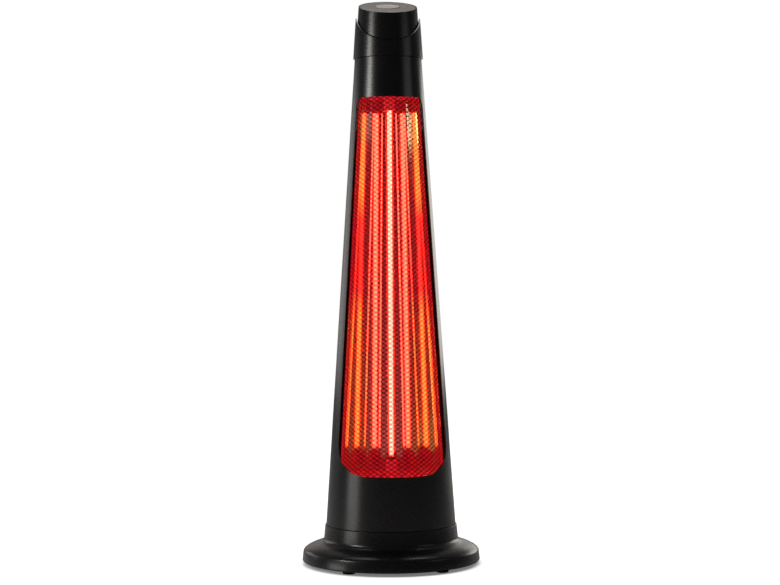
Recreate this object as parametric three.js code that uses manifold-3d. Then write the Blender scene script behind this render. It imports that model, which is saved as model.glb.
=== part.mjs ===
// Infrared patio heater tower: a tapered tower with a radiant lamp behind a
// guard, turning on a round weighted base, with a push button on its slanted top.
// Millimetres. +Z is up, the front faces -Y, and the floor is z = 0.
import * as THREE from 'three';
import { mergeVertices } from 'three/addons/utils/BufferGeometryUtils.js';
import Module from 'manifold-3d';

const wasm = await Module();
wasm.setup();

// Fits
const CLEARANCE = 0.3; // between pieces that seat on each other
const FACETS = 40; // sides of the large turned pieces
const HEAD_FACETS = 32; // sides of the head's turned pieces
const SMALL_FACETS = 20; // sides of the small turned pieces

// Base
const FOOT_COUNT = 5;
const FOOT_HEIGHT = 4.5;
const FOOT_RADIUS = 9;
const FOOT_EDGE = 1; // chamfer round the pad
const FOOT_INSET = 17; // foot centres inside the edge of the base
const FOOT_STEM_RADIUS = 3.5;
const FOOT_STEM_RISE = 1; // stem above the bottom plate
const BASE_RADIUS = 130;
const BASE_HEIGHT = 52.9; // underside to the top of the collar
const BASE_WALL = 3;
const RIM_HEIGHT = 15; // side wall of the disc, up to its crease
const RIM_DRAFT = 1.4; // the side wall leans in by this much
const RIM_CHAMFER = 1.6;
const BROW_INSET = 2; // control point of the sloping top, inside the crease
const BROW_DROP = 5; // and below the shoulder
const SHOULDER_INSET = 19; // base radius in to where the sloping top meets the fillet
const SHOULDER_HEIGHT = 25.6;
const FILLET_OUT = 1; // control point of the fillet, outside the collar's foot
const FILLET_RISE = 3; // and above the shoulder
const COLLAR_STEP = 1.5; // collar outside the tower's foot at the seam
const COLLAR_HEIGHT = 18.7; // straight part, above the fillet
const COLLAR_DRAFT = 1.9;
const RIM_LEDGE = 9; // solid edge that the bottom plate lies inside
const BOTTOM_PLATE = 2.5;
const BALLAST_ROOM = 2.5; // from the ballast to the stems of the feet
const BALLAST_INNER = 60;
const BALLAST_HEIGHT = 6;
const DECK_DEPTH = 8.7; // collar top down to the deck
const DECK_THICKNESS = 3;
const DECK_CORNER = 1; // inside corner under the deck
const GLAND_WIDTH = 18;
const GLAND_HEIGHT = 10.5;
const GLAND_DEPTH = 9;
const CORD_BORE = 3.2; // radius of the hole for the supply cord

// Modules on the bottom plate
const MODULE_OFFSET = [30, -12]; // from the axis, one to each side
const TILT_SWITCH = [9, 20]; // radius and height of the housing
const TILT_SWITCH_LID = [7, 2];
const TILT_SWITCH_EARS = [32, 8, 2];
const TERMINAL_WAYS = 3;
const TERMINAL_PITCH = 10;
const TERMINAL_DEPTH = 18;
const TERMINAL_HEIGHT = 12;
const WIRE_ENTRY = 2; // radius
const WIRE_ENTRY_HEIGHT = 4.5;
const SCREW_WELL = [2.6, 4]; // radius and depth

// Turntable and drive
const SEAM_GAP = 0.6; // running gap between collar and tower
const TURNTABLE_THICKNESS = 3.4;
const SPIGOT_HEIGHT = 7;
const SPIGOT_WALL = 3;
const HUB_RADIUS = 16;
const HUB_BORE = 12;
const HUB_DROP = 1.5; // hub below the deck
const RETAINER_RADIUS = 22;
const RETAINER_THICKNESS = 2;
const BEARING_INNER = 62;
const BEARING_OUTER = 82;
const BEARING_HEIGHT = 4;
const GEAR_MODULE = 2;
const RING_TEETH = 48;
const PINION_TEETH = 8;
const RING_RIM = 4;
const GEAR_WIDTH = 3;
const GEAR_BACKLASH = 0.8;
const GEAR_ADDENDUM = 0.75; // tooth tip beyond the pitch circle, in modules
const GEAR_DEDENDUM = 1.1; // tooth root inside it, in modules
const PRESSURE_ANGLE = 20;
const MOTOR_RADIUS = 14;
const MOTOR_HEIGHT = 19;
const MOTOR_EAR = [7, 7, 1]; // length beyond the can, width, thickness
const MOTOR_GEARCASE = [15, 6, 15];
const MOTOR_SHAFT = 2; // radius
const SHAFT_DEPTH = 6; // shaft inside the motor

// Tower
const TOWER_HEIGHT = 679;
const TOWER_BOTTOM_RADIUS = 94.8;
const TOWER_TOP_RADIUS = 48.9;
const TOWER_WALL = 2.5;
const REAR_HALF_ANGLE = 75; // half of the rear cover, in degrees
const WINDOW_HALF_ANGLE = 64; // half of the window, in degrees
const WINDOW_SILL = 76.8; // tower bottom up to the window
const WINDOW_LINTEL = 58.7; // tower top down to the window
const WINDOW_TOP_CORNER = [16, 15]; // degrees round, millimetres high
const WINDOW_SILL_CORNER = [40, 43];
const CUT_REACH = [3, 0.5]; // a cutter spans these shares of the tower's radius
const VENT_ROWS = 5;
const VENT_PITCH = 11;
const VENT_HEIGHT = 5;
const VENT_ANGLE = 29; // degrees covered by one slot
const VENT_RIB_ANGLE = 8; // degrees between the two columns
const VENT_LOW = 24; // lowest row above the tower bottom
const VENT_HIGH = 53; // highest row below the tower top

// Guard
const GUARD_CLEARANCE = 0.8;
const GUARD_THICKNESS = 1.2;
const GUARD_ROOM = 1.1; // from the guard's back to the plates behind it
const GUARD_MARGIN = 6; // overlap behind the shell, degrees and millimetres
const GUARD_BAND = 3; // solid border outside the net, degrees and millimetres
const NET_COLUMNS = 6;
const NET_ROWS = 24;
const NET_STRAND = 2.4;

// Radiant unit
const LAMP_FORWARD = 20; // lamp axis in front of the tower axis
const LAMP_RADIUS = 5.5;
const LAMP_GLASS = 1.1;
const FILAMENT_RADIUS = 2.8;
const LAMP_END_WIDTH = 15;
const LAMP_END_HEIGHT = 19;
const LAMP_SOCKET_DEPTH = 7;
const BRACKET_THICKNESS = 1.2;
const BRACKET_DROP = 3; // leg shorter than the ceramic end
const BRACKET_FOOT = 10;
const END_PLATE = 1.5;
const END_PLATE_INSET = 1.2; // plates stand this far outside the window
const REFLECTOR_THICKNESS = 0.8;
const REFLECTOR_EDGE_ANGLE = 67;
const REFLECTOR_EDGE_GAP = 3.9; // from the guard's outer face in to the edge, at the sill
// Folds at the sill from the edge to the middle: out to the side, and behind the tower axis.
const REFLECTOR_FOLDS = [[69, -5.2], [57, 13.8], [39.7, 24.2], [21.6, 28.5], [7.8, 26.8]];
const SPINE_WIDTH = 28;
const SPINE_DEPTH = 9;
const SPINE_WALL = 1.5;
const SPINE_BACK = 40; // rear face of the spine behind the tower axis
const CUTOUT_RADIUS = 8;
const CUTOUT_HEIGHT = 8;
const CUTOUT_LUG = [24, 7, 1];
const CUTOUT_TAB = [0.8, 6, 8];
const CUTOUT_TAB_OFFSET = 3.5; // from the middle of the can

// Head
const CAP_INSET = 0.95; // the cap is this much inside the tower's line
const CAP_WALL = 2.5;
const HEAD_RISE = 76.7; // tower top up to the centre of the slanted top
const TOP_TILT = 17.8; // degrees, low at the front
const PANEL_THICKNESS = 1.8;
const PANEL_RIM = 1.6;
const PANEL_RECESS = 0.2;
const SLEEVE_STANDOFF = 2.2; // outside the tower's line
const SLEEVE_WALL = 1.7;
const SLEEVE_LEDGE = 2;
const SLEEVE_HEIGHT = 59.6; // up to its two tips
const SCOOP_TILT = 37.8; // degrees
const SCOOP_LOW = 21.8; // lowest point of the scoop above the sleeve's foot
const NECK_THICKNESS = 3;
const NECK_DEPTH = 8; // tower top down to the neck plate
const NECK_SPIGOT = 11; // spigot above the tower top
const NECK_WALL = 2.2;
const NECK_BORE = 12;
const BUTTON_RADIUS = 17.4;
const BUTTON_PROUD = 0.7;
const BUTTON_EDGE = 0.5;
const BUTTON_TRAVEL = 2;
const BUTTON_FLANGE = 1.4;
const BUTTON_GAP = 0.35; // radial gap round the button
const BOARD_RADIUS = 29;
const BOARD_THICKNESS = 1.6;
const BOARD_DEPTH = 17; // slanted top down to the board
const POST_COUNT = 3; // posts under the roof that carry the board
const POST_RADIUS = 3;
const POST_INSET = 4; // post centres inside the edge of the board
const SWITCH_SIZE = 12;
const SWITCH_HEIGHT = 6;
const SWITCH_FLOOR = 1;
const PLUNGER_RADIUS = 2.8;

const radians = THREE.MathUtils.degToRad;

// Heights worked out from the sizes above
const baseZ = FOOT_HEIGHT + CLEARANCE;
const plateTopZ = baseZ + BOTTOM_PLATE;
const seamZ = baseZ + BASE_HEIGHT;
const deckTopZ = seamZ - DECK_DEPTH;
const deckBottomZ = deckTopZ - DECK_THICKNESS;
const turntableZ = deckTopZ + BEARING_HEIGHT + 2 * CLEARANCE;
const turntableTopZ = turntableZ + TURNTABLE_THICKNESS;
const towerZ = seamZ + SEAM_GAP;
const towerTopZ = towerZ + TOWER_HEIGHT;
const sillZ = towerZ + WINDOW_SILL;
const lintelZ = towerTopZ - WINDOW_LINTEL;
const lowerPlateTopZ = sillZ - END_PLATE_INSET;
const upperPlateZ = lintelZ + END_PLATE_INSET;
const neckTopZ = towerTopZ - NECK_DEPTH;
const sleeveZ = towerTopZ + CLEARANCE;
const capZ = sleeveZ + SLEEVE_LEDGE + CLEARANCE;
const headTopZ = towerTopZ + HEAD_RISE;

// Radii worked out from the sizes above
const collarRadius = TOWER_BOTTOM_RADIUS + COLLAR_STEP;
const shoulderRadius = BASE_RADIUS - SHOULDER_INSET;
const footCircle = BASE_RADIUS - FOOT_INSET;
const ballastOuter = footCircle - FOOT_STEM_RADIUS - BALLAST_ROOM;

// Radius of the tower's straight taper, which the head carries on upwards
const taper = (TOWER_BOTTOM_RADIUS - TOWER_TOP_RADIUS) / TOWER_HEIGHT;
const towerLine = (z) => TOWER_BOTTOM_RADIUS - taper * (z - towerZ);
const towerInner = (z) => towerLine(z) - TOWER_WALL;
const guardOuter = (z) => towerInner(z) - GUARD_CLEARANCE;
const capInner = (z) => towerLine(z) - CAP_INSET - CAP_WALL;

// A closed geometry as a solid that can be joined and cut
function solidOf(geometry) {
  const bare = geometry.clone();
  for (const name of Object.keys(bare.attributes)) {
    if (name !== 'position') bare.deleteAttribute(name);
  }
  const merged = mergeVertices(bare, 1e-4);
  return new wasm.Manifold(new wasm.Mesh({
    numProp: 3,
    vertProperties: new Float32Array(merged.attributes.position.array),
    triVerts: new Uint32Array(merged.index.array),
  }));
}

function geometryOf(solid) {
  const mesh = solid.getMesh();
  return indexed(Array.from(mesh.vertProperties), Array.from(mesh.triVerts));
}

function indexed(positions, indices) {
  const geometry = new THREE.BufferGeometry();
  geometry.setAttribute('position', new THREE.Float32BufferAttribute(positions, 3));
  geometry.setIndex(indices);
  geometry.computeVertexNormals();
  return geometry;
}

function cut(geometry, ...cutters) {
  let solid = solidOf(geometry);
  for (const cutter of cutters) solid = solid.subtract(solidOf(cutter));
  return geometryOf(solid);
}

function join(...geometries) {
  const [first, ...others] = geometries.map(solidOf);
  return geometryOf(others.reduce((sum, next) => sum.add(next), first));
}

function common(first, second) {
  return geometryOf(solidOf(first).intersect(solidOf(second)));
}

// Turned piece: profile points [radius, z] run counter-clockwise
function turned(profile, facets = FACETS) {
  const closed = [...profile, profile[0]].map(([r, z]) => new THREE.Vector2(r, z));
  return new THREE.LatheGeometry(closed, facets).rotateX(Math.PI / 2);
}

function drum(radius, z0, z1, facets = SMALL_FACETS) {
  const profile = [[0, z0], [radius, z0], [radius, z1], [0, z1]];
  const points = profile.map(([r, z]) => new THREE.Vector2(r, z));
  return new THREE.LatheGeometry(points, facets).rotateX(Math.PI / 2);
}

function tube(inner, outer, z0, z1, facets = SMALL_FACETS) {
  return turned([[inner, z0], [outer, z0], [outer, z1], [inner, z1]], facets);
}

// Cone whose radius follows a function of height
function cone(radiusAt, z0, z1) {
  const profile = [[0, z0], [radiusAt(z0), z0], [radiusAt(z1), z1], [0, z1]];
  const points = profile.map(([r, z]) => new THREE.Vector2(r, z));
  return new THREE.LatheGeometry(points, HEAD_FACETS).rotateX(Math.PI / 2);
}

function block(x, y, z, centre) {
  return new THREE.BoxGeometry(x, y, z).translate(...centre);
}

function prism(points, z0, z1) {
  const shape = new THREE.Shape(points.map(([x, y]) => new THREE.Vector2(x, y)));
  const options = { depth: z1 - z0, bevelEnabled: false };
  return new THREE.ExtrudeGeometry(shape, options).translate(0, 0, z0);
}

// Point at an azimuth in degrees from the front, positive to the right
function around(angle, radius, z) {
  const turn = radians(angle);
  return [radius * Math.sin(turn), -radius * Math.cos(turn), z];
}

// Sheet with thickness from flat triangles; place gives a point of either face
function thickSheet(points, triangles, place) {
  const count = points.length;
  const positions = [0, 1].flatMap((side) => points.flatMap(([u, v]) => place(u, v, side)));
  const indices = triangles.flatMap(([a, b, c]) => [a, b, c, count + c, count + b, count + a]);
  const edges = new Set(triangles.flatMap(([a, b, c]) => [`${a},${b}`, `${b},${c}`, `${c},${a}`]));
  for (const edge of edges) {
    const [a, b] = edge.split(',').map(Number);
    if (edges.has(`${b},${a}`)) continue;
    indices.push(a, count + a, count + b, a, count + b, b);
  }
  return indexed(positions, indices);
}

// Cutter through a wall round the tower axis; outline points are [degrees, z]
function radialCutter(outline) {
  const contour = outline.map(([angle, z]) => new THREE.Vector2(angle, z));
  const triangles = THREE.ShapeUtils.triangulateShape(contour, []);
  return thickSheet(outline, triangles, (angle, z, side) => (
    around(angle, CUT_REACH[side] * towerLine(z), z)
  ));
}

// Straight loft between two outlines with the same number of points
function loft(lower, upper, z0, z1) {
  const count = lower.length;
  const contour = lower.map(([x, y]) => new THREE.Vector2(x, y));
  const caps = THREE.ShapeUtils.triangulateShape(contour, []);
  const positions = [
    ...lower.flatMap(([x, y]) => [x, y, z0]),
    ...upper.flatMap(([x, y]) => [x, y, z1]),
  ];
  const indices = caps.flatMap(([a, b, c]) => [c, b, a, count + a, count + b, count + c]);
  for (let i = 0; i < count; i += 1) {
    const next = (i + 1) % count;
    indices.push(i, next, count + next, i, count + next, count + i);
  }
  return indexed(positions, indices);
}

// Base shell: flared disc with a collar, open below, with a deck inside the collar
function baseShell() {
  const outer = new THREE.Path();
  const rimTopZ = baseZ + RIM_HEIGHT;
  const shoulderZ = baseZ + SHOULDER_HEIGHT;
  const filletTopZ = seamZ - COLLAR_HEIGHT;
  const collarFoot = collarRadius + COLLAR_DRAFT;
  outer.moveTo(BASE_RADIUS - RIM_CHAMFER, baseZ);
  outer.lineTo(BASE_RADIUS, baseZ + RIM_CHAMFER);
  outer.lineTo(BASE_RADIUS - RIM_DRAFT, rimTopZ);
  const brow = [BASE_RADIUS - RIM_DRAFT - BROW_INSET, shoulderZ - BROW_DROP];
  const fillet = [collarFoot + FILLET_OUT, shoulderZ + FILLET_RISE];
  outer.quadraticCurveTo(...brow, shoulderRadius, shoulderZ);
  outer.quadraticCurveTo(...fillet, collarFoot, filletTopZ);
  outer.lineTo(collarRadius, seamZ);
  const outside = outer.getPoints(4).map((p) => [p.x, p.y]);
  const skirtInner = collarFoot - BASE_WALL;
  const roofZ = shoulderZ - BASE_WALL;
  const inside = [
    [collarRadius - BASE_WALL, seamZ],
    [collarRadius - BASE_WALL, deckTopZ],
    [HUB_RADIUS + 2 * CLEARANCE, deckTopZ],
    [HUB_RADIUS + 2 * CLEARANCE, deckBottomZ],
    [skirtInner - DECK_CORNER, deckBottomZ],
    [skirtInner, filletTopZ - BASE_WALL],
    [shoulderRadius, roofZ],
    [BASE_RADIUS - RIM_LEDGE, rimTopZ - BASE_WALL],
    [BASE_RADIUS - RIM_LEDGE, baseZ],
  ];
  const shell = turned([...outside, ...inside]);
  const shaftHole = drum(2 * MOTOR_SHAFT, deckBottomZ - 1, deckTopZ + 1);
  return cut(shell, glandNotch(CLEARANCE), atMotor(shaftHole));
}

// Space for the cord gland in the rear of the rim
function glandNotch(room) {
  const depth = BASE_RADIUS;
  const height = GLAND_HEIGHT + room;
  const inner = BASE_RADIUS - RIM_LEDGE - BASE_WALL;
  const centre = [0, inner + depth / 2, baseZ + height / 2 - 1];
  return block(GLAND_WIDTH + 2 * room, depth, height + 2, centre);
}

// Cord gland: a block in the rim whose bore clears the bottom plate
function cableGland() {
  const middle = BASE_RADIUS - RIM_LEDGE + CLEARANCE + GLAND_DEPTH / 2;
  const centre = [0, middle, baseZ + GLAND_HEIGHT / 2];
  const body = block(GLAND_WIDTH, GLAND_DEPTH, GLAND_HEIGHT, centre);
  const within = cone(() => BASE_RADIUS, baseZ, baseZ + GLAND_HEIGHT);
  const bore = drum(CORD_BORE, -GLAND_DEPTH, GLAND_DEPTH, 16).rotateX(Math.PI / 2);
  bore.translate(0, middle, plateTopZ + CLEARANCE + CORD_BORE);
  return cut(common(body, within), bore);
}

function bottomPlate() {
  const radius = BASE_RADIUS - RIM_LEDGE - CLEARANCE;
  const plate = drum(radius, baseZ, plateTopZ, FACETS);
  const stem = FOOT_STEM_RADIUS + CLEARANCE;
  const holes = footAngles().map((angle) => {
    const [x, y] = around(angle, footCircle, 0);
    return drum(stem, 0, plateTopZ + 1, 12).translate(x, y, 0);
  });
  return cut(plate, ...holes);
}

function footAngles() {
  return Array.from({ length: FOOT_COUNT }, (_, i) => (i + 0.5) * 360 / FOOT_COUNT);
}

// Rubber foot: a pad under the plate and a stem pressed through it
function foot() {
  const stemTopZ = plateTopZ + FOOT_STEM_RISE;
  const profile = [
    [0, 0],
    [FOOT_RADIUS - FOOT_EDGE, 0],
    [FOOT_RADIUS, FOOT_EDGE],
    [FOOT_RADIUS, FOOT_HEIGHT],
    [FOOT_STEM_RADIUS, FOOT_HEIGHT],
    [FOOT_STEM_RADIUS, stemTopZ],
    [0, stemTopZ],
  ];
  const points = profile.map(([r, z]) => new THREE.Vector2(r, z));
  return new THREE.LatheGeometry(points, 12).rotateX(Math.PI / 2);
}

function ballast() {
  const z0 = plateTopZ + CLEARANCE;
  return tube(BALLAST_INNER, ballastOuter, z0, z0 + BALLAST_HEIGHT, FACETS);
}

// Tip-over switch: a round housing with a lid, on two ears
function tipOverSwitch() {
  const z0 = plateTopZ + CLEARANCE;
  const [radius, height] = TILT_SWITCH;
  const [lidRadius, lidHeight] = TILT_SWITCH_LID;
  const housing = drum(radius, z0, z0 + height);
  const lid = drum(lidRadius, z0 + height, z0 + height + lidHeight);
  const ears = block(...TILT_SWITCH_EARS, [0, 0, z0 + TILT_SWITCH_EARS[2] / 2]);
  return join(housing, lid, ears);
}

// Terminal block: each way has a wire entry and a screw well
function terminalBlock() {
  const z0 = plateTopZ + CLEARANCE;
  const top = z0 + TERMINAL_HEIGHT;
  const centre = [0, 0, z0 + TERMINAL_HEIGHT / 2];
  const body = block(TERMINAL_WAYS * TERMINAL_PITCH, TERMINAL_DEPTH, TERMINAL_HEIGHT, centre);
  const [wellRadius, wellDepth] = SCREW_WELL;
  const cutters = Array.from({ length: TERMINAL_WAYS }, (_, way) => {
    const x = (way - (TERMINAL_WAYS - 1) / 2) * TERMINAL_PITCH;
    const entry = drum(WIRE_ENTRY, -TERMINAL_DEPTH, TERMINAL_DEPTH, 10).rotateX(Math.PI / 2);
    const well = drum(wellRadius, top - wellDepth, top + 1, 10);
    return [entry.translate(x, 0, z0 + WIRE_ENTRY_HEIGHT), well.translate(x, 0, 0)];
  });
  return cut(body, ...cutters.flat());
}

const gearReach = GEAR_MODULE * (RING_TEETH - PINION_TEETH) / 2;
const atMotor = (geometry) => geometry.translate(0, gearReach, 0);

function bearingRing() {
  const z0 = deckTopZ + CLEARANCE;
  return tube(BEARING_INNER, BEARING_OUTER, z0, z0 + BEARING_HEIGHT, FACETS);
}

function oscillationMotor() {
  const top = deckBottomZ - CLEARANCE;
  const [earLength, earWidth, earThickness] = MOTOR_EAR;
  const can = drum(MOTOR_RADIUS, top - MOTOR_HEIGHT, top);
  const span = 2 * (MOTOR_RADIUS + earLength);
  const ears = block(span, earWidth, earThickness, [0, 0, top - earThickness / 2]);
  const gearcase = block(...MOTOR_GEARCASE, [0, MOTOR_RADIUS, top - MOTOR_HEIGHT / 2]);
  const bore = drum(MOTOR_SHAFT + CLEARANCE, top - SHAFT_DEPTH - 1, top + 1, 12);
  return atMotor(cut(join(can, ears, gearcase), bore));
}

// Tooth outline round a pitch circle; direction is +1 for teeth that point out
function toothRing(teeth, direction) {
  const pitch = GEAR_MODULE * teeth / 2;
  const slope = Math.tan(radians(PRESSURE_ANGLE));
  const half = Math.PI / (2 * teeth) - GEAR_BACKLASH / (4 * pitch);
  const levels = [-GEAR_DEDENDUM * GEAR_MODULE, GEAR_ADDENDUM * GEAR_MODULE];
  const flank = levels.map((rise) => {
    const radius = pitch + direction * rise;
    return [radius, half - slope * rise / radius];
  });
  const tooth = [...flank.map(([r, a]) => [r, -a]), ...flank.reverse()];
  return Array.from({ length: teeth }, (_, i) => tooth.map(([r, a]) => {
    const turn = Math.PI / 2 + a + i * 2 * Math.PI / teeth;
    return [r * Math.cos(turn), r * Math.sin(turn)];
  })).flat();
}

function ringGear() {
  const top = turntableZ - CLEARANCE;
  const outer = GEAR_MODULE * (RING_TEETH / 2 + GEAR_DEDENDUM) + RING_RIM;
  const blank = drum(outer, top - GEAR_WIDTH, top, FACETS);
  const teeth = prism(toothRing(RING_TEETH, -1), top - GEAR_WIDTH - 1, top + 1);
  return cut(blank, teeth);
}

// Pinion in one piece with its shaft; a tooth gap of the pinion faces the ring tooth
function drivePinion() {
  const top = turntableZ - 2 * CLEARANCE;
  const shaftFoot = deckBottomZ - CLEARANCE - SHAFT_DEPTH;
  const gear = prism(toothRing(PINION_TEETH, 1), top - GEAR_WIDTH, top);
  gear.rotateZ(Math.PI / PINION_TEETH);
  return atMotor(join(gear, drum(MOTOR_SHAFT, shaftFoot, top - 1, 12)));
}

// Turntable: plate with a spigot for the tower and a hub through the deck
function turntable() {
  const spigotTopZ = turntableTopZ + SPIGOT_HEIGHT;
  const rim = towerInner(spigotTopZ) - 2 * CLEARANCE;
  return turned([
    [HUB_BORE, deckBottomZ - HUB_DROP],
    [HUB_RADIUS, deckBottomZ - HUB_DROP],
    [HUB_RADIUS, turntableZ],
    [rim, turntableZ],
    [rim, spigotTopZ],
    [rim - SPIGOT_WALL, spigotTopZ],
    [rim - SPIGOT_WALL, turntableTopZ],
    [HUB_BORE, turntableTopZ],
  ]);
}

function retainingRing() {
  const top = deckBottomZ - HUB_DROP - CLEARANCE;
  return tube(HUB_BORE, RETAINER_RADIUS, top - RETAINER_THICKNESS, top);
}

// Sector behind the tower, moved along Y, that parts the rear cover from the front
function rearSector(shift) {
  const far = 4 * TOWER_BOTTOM_RADIUS;
  const side = radians(REAR_HALF_ANGLE);
  const x = far * Math.sin(side);
  const y = far * Math.cos(side) + shift;
  const points = [[0, shift], [x, y], [x, far], [-x, far], [-x, y]];
  return prism(points, towerZ - 1, towerTopZ + 1);
}

function towerWall() {
  return turned([
    [towerInner(towerZ), towerZ],
    [TOWER_BOTTOM_RADIUS, towerZ],
    [TOWER_TOP_RADIUS, towerTopZ],
    [towerInner(towerTopZ), towerTopZ],
  ]);
}

// Window outline in [degrees, z], with wider round corners at the sill
function windowOutline() {
  const half = WINDOW_HALF_ANGLE;
  const [topRound, topRise] = WINDOW_TOP_CORNER;
  const [sillRound, sillRise] = WINDOW_SILL_CORNER;
  const quarter = Math.PI / 2;
  const path = new THREE.Path();
  const sill = [sillRound, sillRise];
  const top = [topRound, topRise];
  path.absellipse(half - sillRound, sillZ + sillRise, ...sill, -quarter, 0, false);
  path.absellipse(half - topRound, lintelZ - topRise, ...top, 0, quarter, false);
  path.absellipse(topRound - half, lintelZ - topRise, ...top, quarter, 2 * quarter, false);
  path.absellipse(sillRound - half, sillZ + sillRise, ...sill, 2 * quarter, 3 * quarter, false);
  return path.getPoints(5).map((p) => [p.x, p.y]);
}

function frontShell() {
  return cut(towerWall(), radialCutter(windowOutline()), rearSector(0));
}

function ventSlot(middle, z) {
  const half = VENT_ANGLE / 2;
  const bottom = z - VENT_HEIGHT / 2;
  const top = z + VENT_HEIGHT / 2;
  return radialCutter([
    [middle - half, bottom], [middle + half, bottom], [middle + half, top], [middle - half, top],
  ]);
}

function rearCover() {
  const cover = common(towerWall(), rearSector(CLEARANCE));
  const side = (VENT_ANGLE + VENT_RIB_ANGLE) / 2;
  const rows = Array.from({ length: VENT_ROWS }, (_, row) => row * VENT_PITCH);
  const levels = rows.flatMap((rise) => [towerZ + VENT_LOW + rise, towerTopZ - VENT_HIGH - rise]);
  const slots = levels.flatMap((z) => [ventSlot(180 - side, z), ventSlot(180 + side, z)]);
  return cut(cover, ...slots);
}

// Diamond net on the inside of the front shell, with a solid border
function guardNet() {
  const half = WINDOW_HALF_ANGLE + GUARD_MARGIN;
  const low = sillZ - GUARD_MARGIN;
  const high = lintelZ + GUARD_MARGIN;
  const angleStep = 2 * (half - GUARD_BAND) / NET_COLUMNS;
  const heightStep = (high - low - 2 * GUARD_BAND) / NET_ROWS;
  const toAngle = (u) => -half + GUARD_BAND + u * angleStep;
  const toHeight = (v) => low + GUARD_BAND + v * heightStep;
  const points = [];
  const triangles = [];
  const known = new Map();
  const at = (u, v) => {
    const key = `${u.toFixed(4)},${v.toFixed(4)}`;
    if (!known.has(key)) {
      known.set(key, points.length);
      points.push([toAngle(u), toHeight(v)]);
    }
    return known.get(key);
  };
  const quad = (a, b, c, d) => triangles.push([a, b, c], [a, c, d]);
  const middle = towerInner((low + high) / 2);
  const cellWidth = radians(angleStep) * middle / 2;
  const inradius = cellWidth * heightStep / Math.hypot(cellWidth, heightStep);
  const open = 1 - NET_STRAND / 2 / inradius;
  const cell = (u, v) => {
    const corner = [[0.5, 0], [0, 1], [-0.5, 0], [0, -1]];
    const ring = (share) => corner.map(([du, dv]) => at(u + share * du, v + share * dv));
    const outer = ring(1);
    const inner = ring(open);
    for (let i = 0; i < 4; i += 1) {
      const next = (i + 1) % 4;
      quad(outer[i], outer[next], inner[next], inner[i]);
    }
  };
  for (let v = 1; v < NET_ROWS; v += 1) {
    const odd = v % 2;
    for (let u = odd ? 1 : 0.5; u < NET_COLUMNS; u += 1) cell(u, v);
    if (!odd) continue;
    triangles.push([at(0, v - 1), at(0.5, v), at(0, v + 1)]);
    triangles.push([at(NET_COLUMNS, v + 1), at(NET_COLUMNS - 0.5, v), at(NET_COLUMNS, v - 1)]);
  }
  const bandU = GUARD_BAND / angleStep;
  const bandV = GUARD_BAND / heightStep;
  const right = NET_COLUMNS + bandU;
  const top = NET_ROWS + bandV;
  for (let u = 0; u < NET_COLUMNS; u += 0.5) {
    const tip = Math.floor(u) + 0.5;
    triangles.push([at(u, 0), at(u + 0.5, 0), at(tip, 1)]);
    triangles.push([at(u + 0.5, NET_ROWS), at(u, NET_ROWS), at(tip, NET_ROWS - 1)]);
    quad(at(u, -bandV), at(u + 0.5, -bandV), at(u + 0.5, 0), at(u, 0));
    quad(at(u, NET_ROWS), at(u + 0.5, NET_ROWS), at(u + 0.5, top), at(u, top));
  }
  for (let v = 0; v < NET_ROWS; v += 2) {
    quad(at(-bandU, v), at(0, v), at(0, v + 2), at(-bandU, v + 2));
    quad(at(NET_COLUMNS, v), at(right, v), at(right, v + 2), at(NET_COLUMNS, v + 2));
  }
  quad(at(-bandU, -bandV), at(0, -bandV), at(0, 0), at(-bandU, 0));
  quad(at(NET_COLUMNS, -bandV), at(right, -bandV), at(right, 0), at(NET_COLUMNS, 0));
  quad(at(-bandU, NET_ROWS), at(0, NET_ROWS), at(0, top), at(-bandU, top));
  quad(at(NET_COLUMNS, NET_ROWS), at(right, NET_ROWS), at(right, top), at(NET_COLUMNS, top));
  return thickSheet(points, triangles, (angle, z, side) => (
    around(angle, guardOuter(z) - side * GUARD_THICKNESS, z)
  ));
}

// Folded reflector: flat facets that narrow upwards with the tower
function reflector() {
  const z0 = lowerPlateTopZ + CLEARANCE;
  const z1 = upperPlateZ - CLEARANCE;
  return loft(reflectorSection(z0), reflectorSection(z1), z0, z1);
}

function reflectorSection(z) {
  const scale = guardOuter(z) / guardOuter(sillZ);
  const rim = guardOuter(sillZ) - REFLECTOR_EDGE_GAP;
  const [edgeX, edgeY] = around(REFLECTOR_EDGE_ANGLE, rim, z);
  const half = [[edgeX, edgeY], ...REFLECTOR_FOLDS];
  const left = half.map(([x, y]) => [-x * scale, y * scale]);
  const right = half.map(([x, y]) => [x * scale, y * scale]).reverse();
  const face = [...left, ...right];
  const back = face.map((_, i) => offsetPoint(face, i, REFLECTOR_THICKNESS));
  return [...face, ...back.reverse()];
}

// Point of an open outline moved square to its neighbours, to the left of the way
function offsetPoint(line, i, distance) {
  const before = line[Math.max(i - 1, 0)];
  const after = line[Math.min(i + 1, line.length - 1)];
  const [dx, dy] = [after[0] - before[0], after[1] - before[1]];
  const length = Math.hypot(dx, dy);
  return [line[i][0] - distance * dy / length, line[i][1] + distance * dx / length];
}

// Notch for the spine, open behind so that a plate slides on from the front
function spineNotch() {
  const room = 2 * CLEARANCE;
  const depth = TOWER_BOTTOM_RADIUS;
  const front = SPINE_BACK - SPINE_DEPTH - room;
  const centre = [0, front + depth / 2, (towerZ + towerTopZ) / 2];
  return block(SPINE_WIDTH + 2 * room, depth, TOWER_HEIGHT, centre);
}

// Round end plate that closes the lamp chamber
function endPlate(z) {
  const radius = guardOuter(z + END_PLATE) - GUARD_THICKNESS - GUARD_ROOM;
  return cut(drum(radius, z, z + END_PLATE, FACETS), spineNotch());
}

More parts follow.
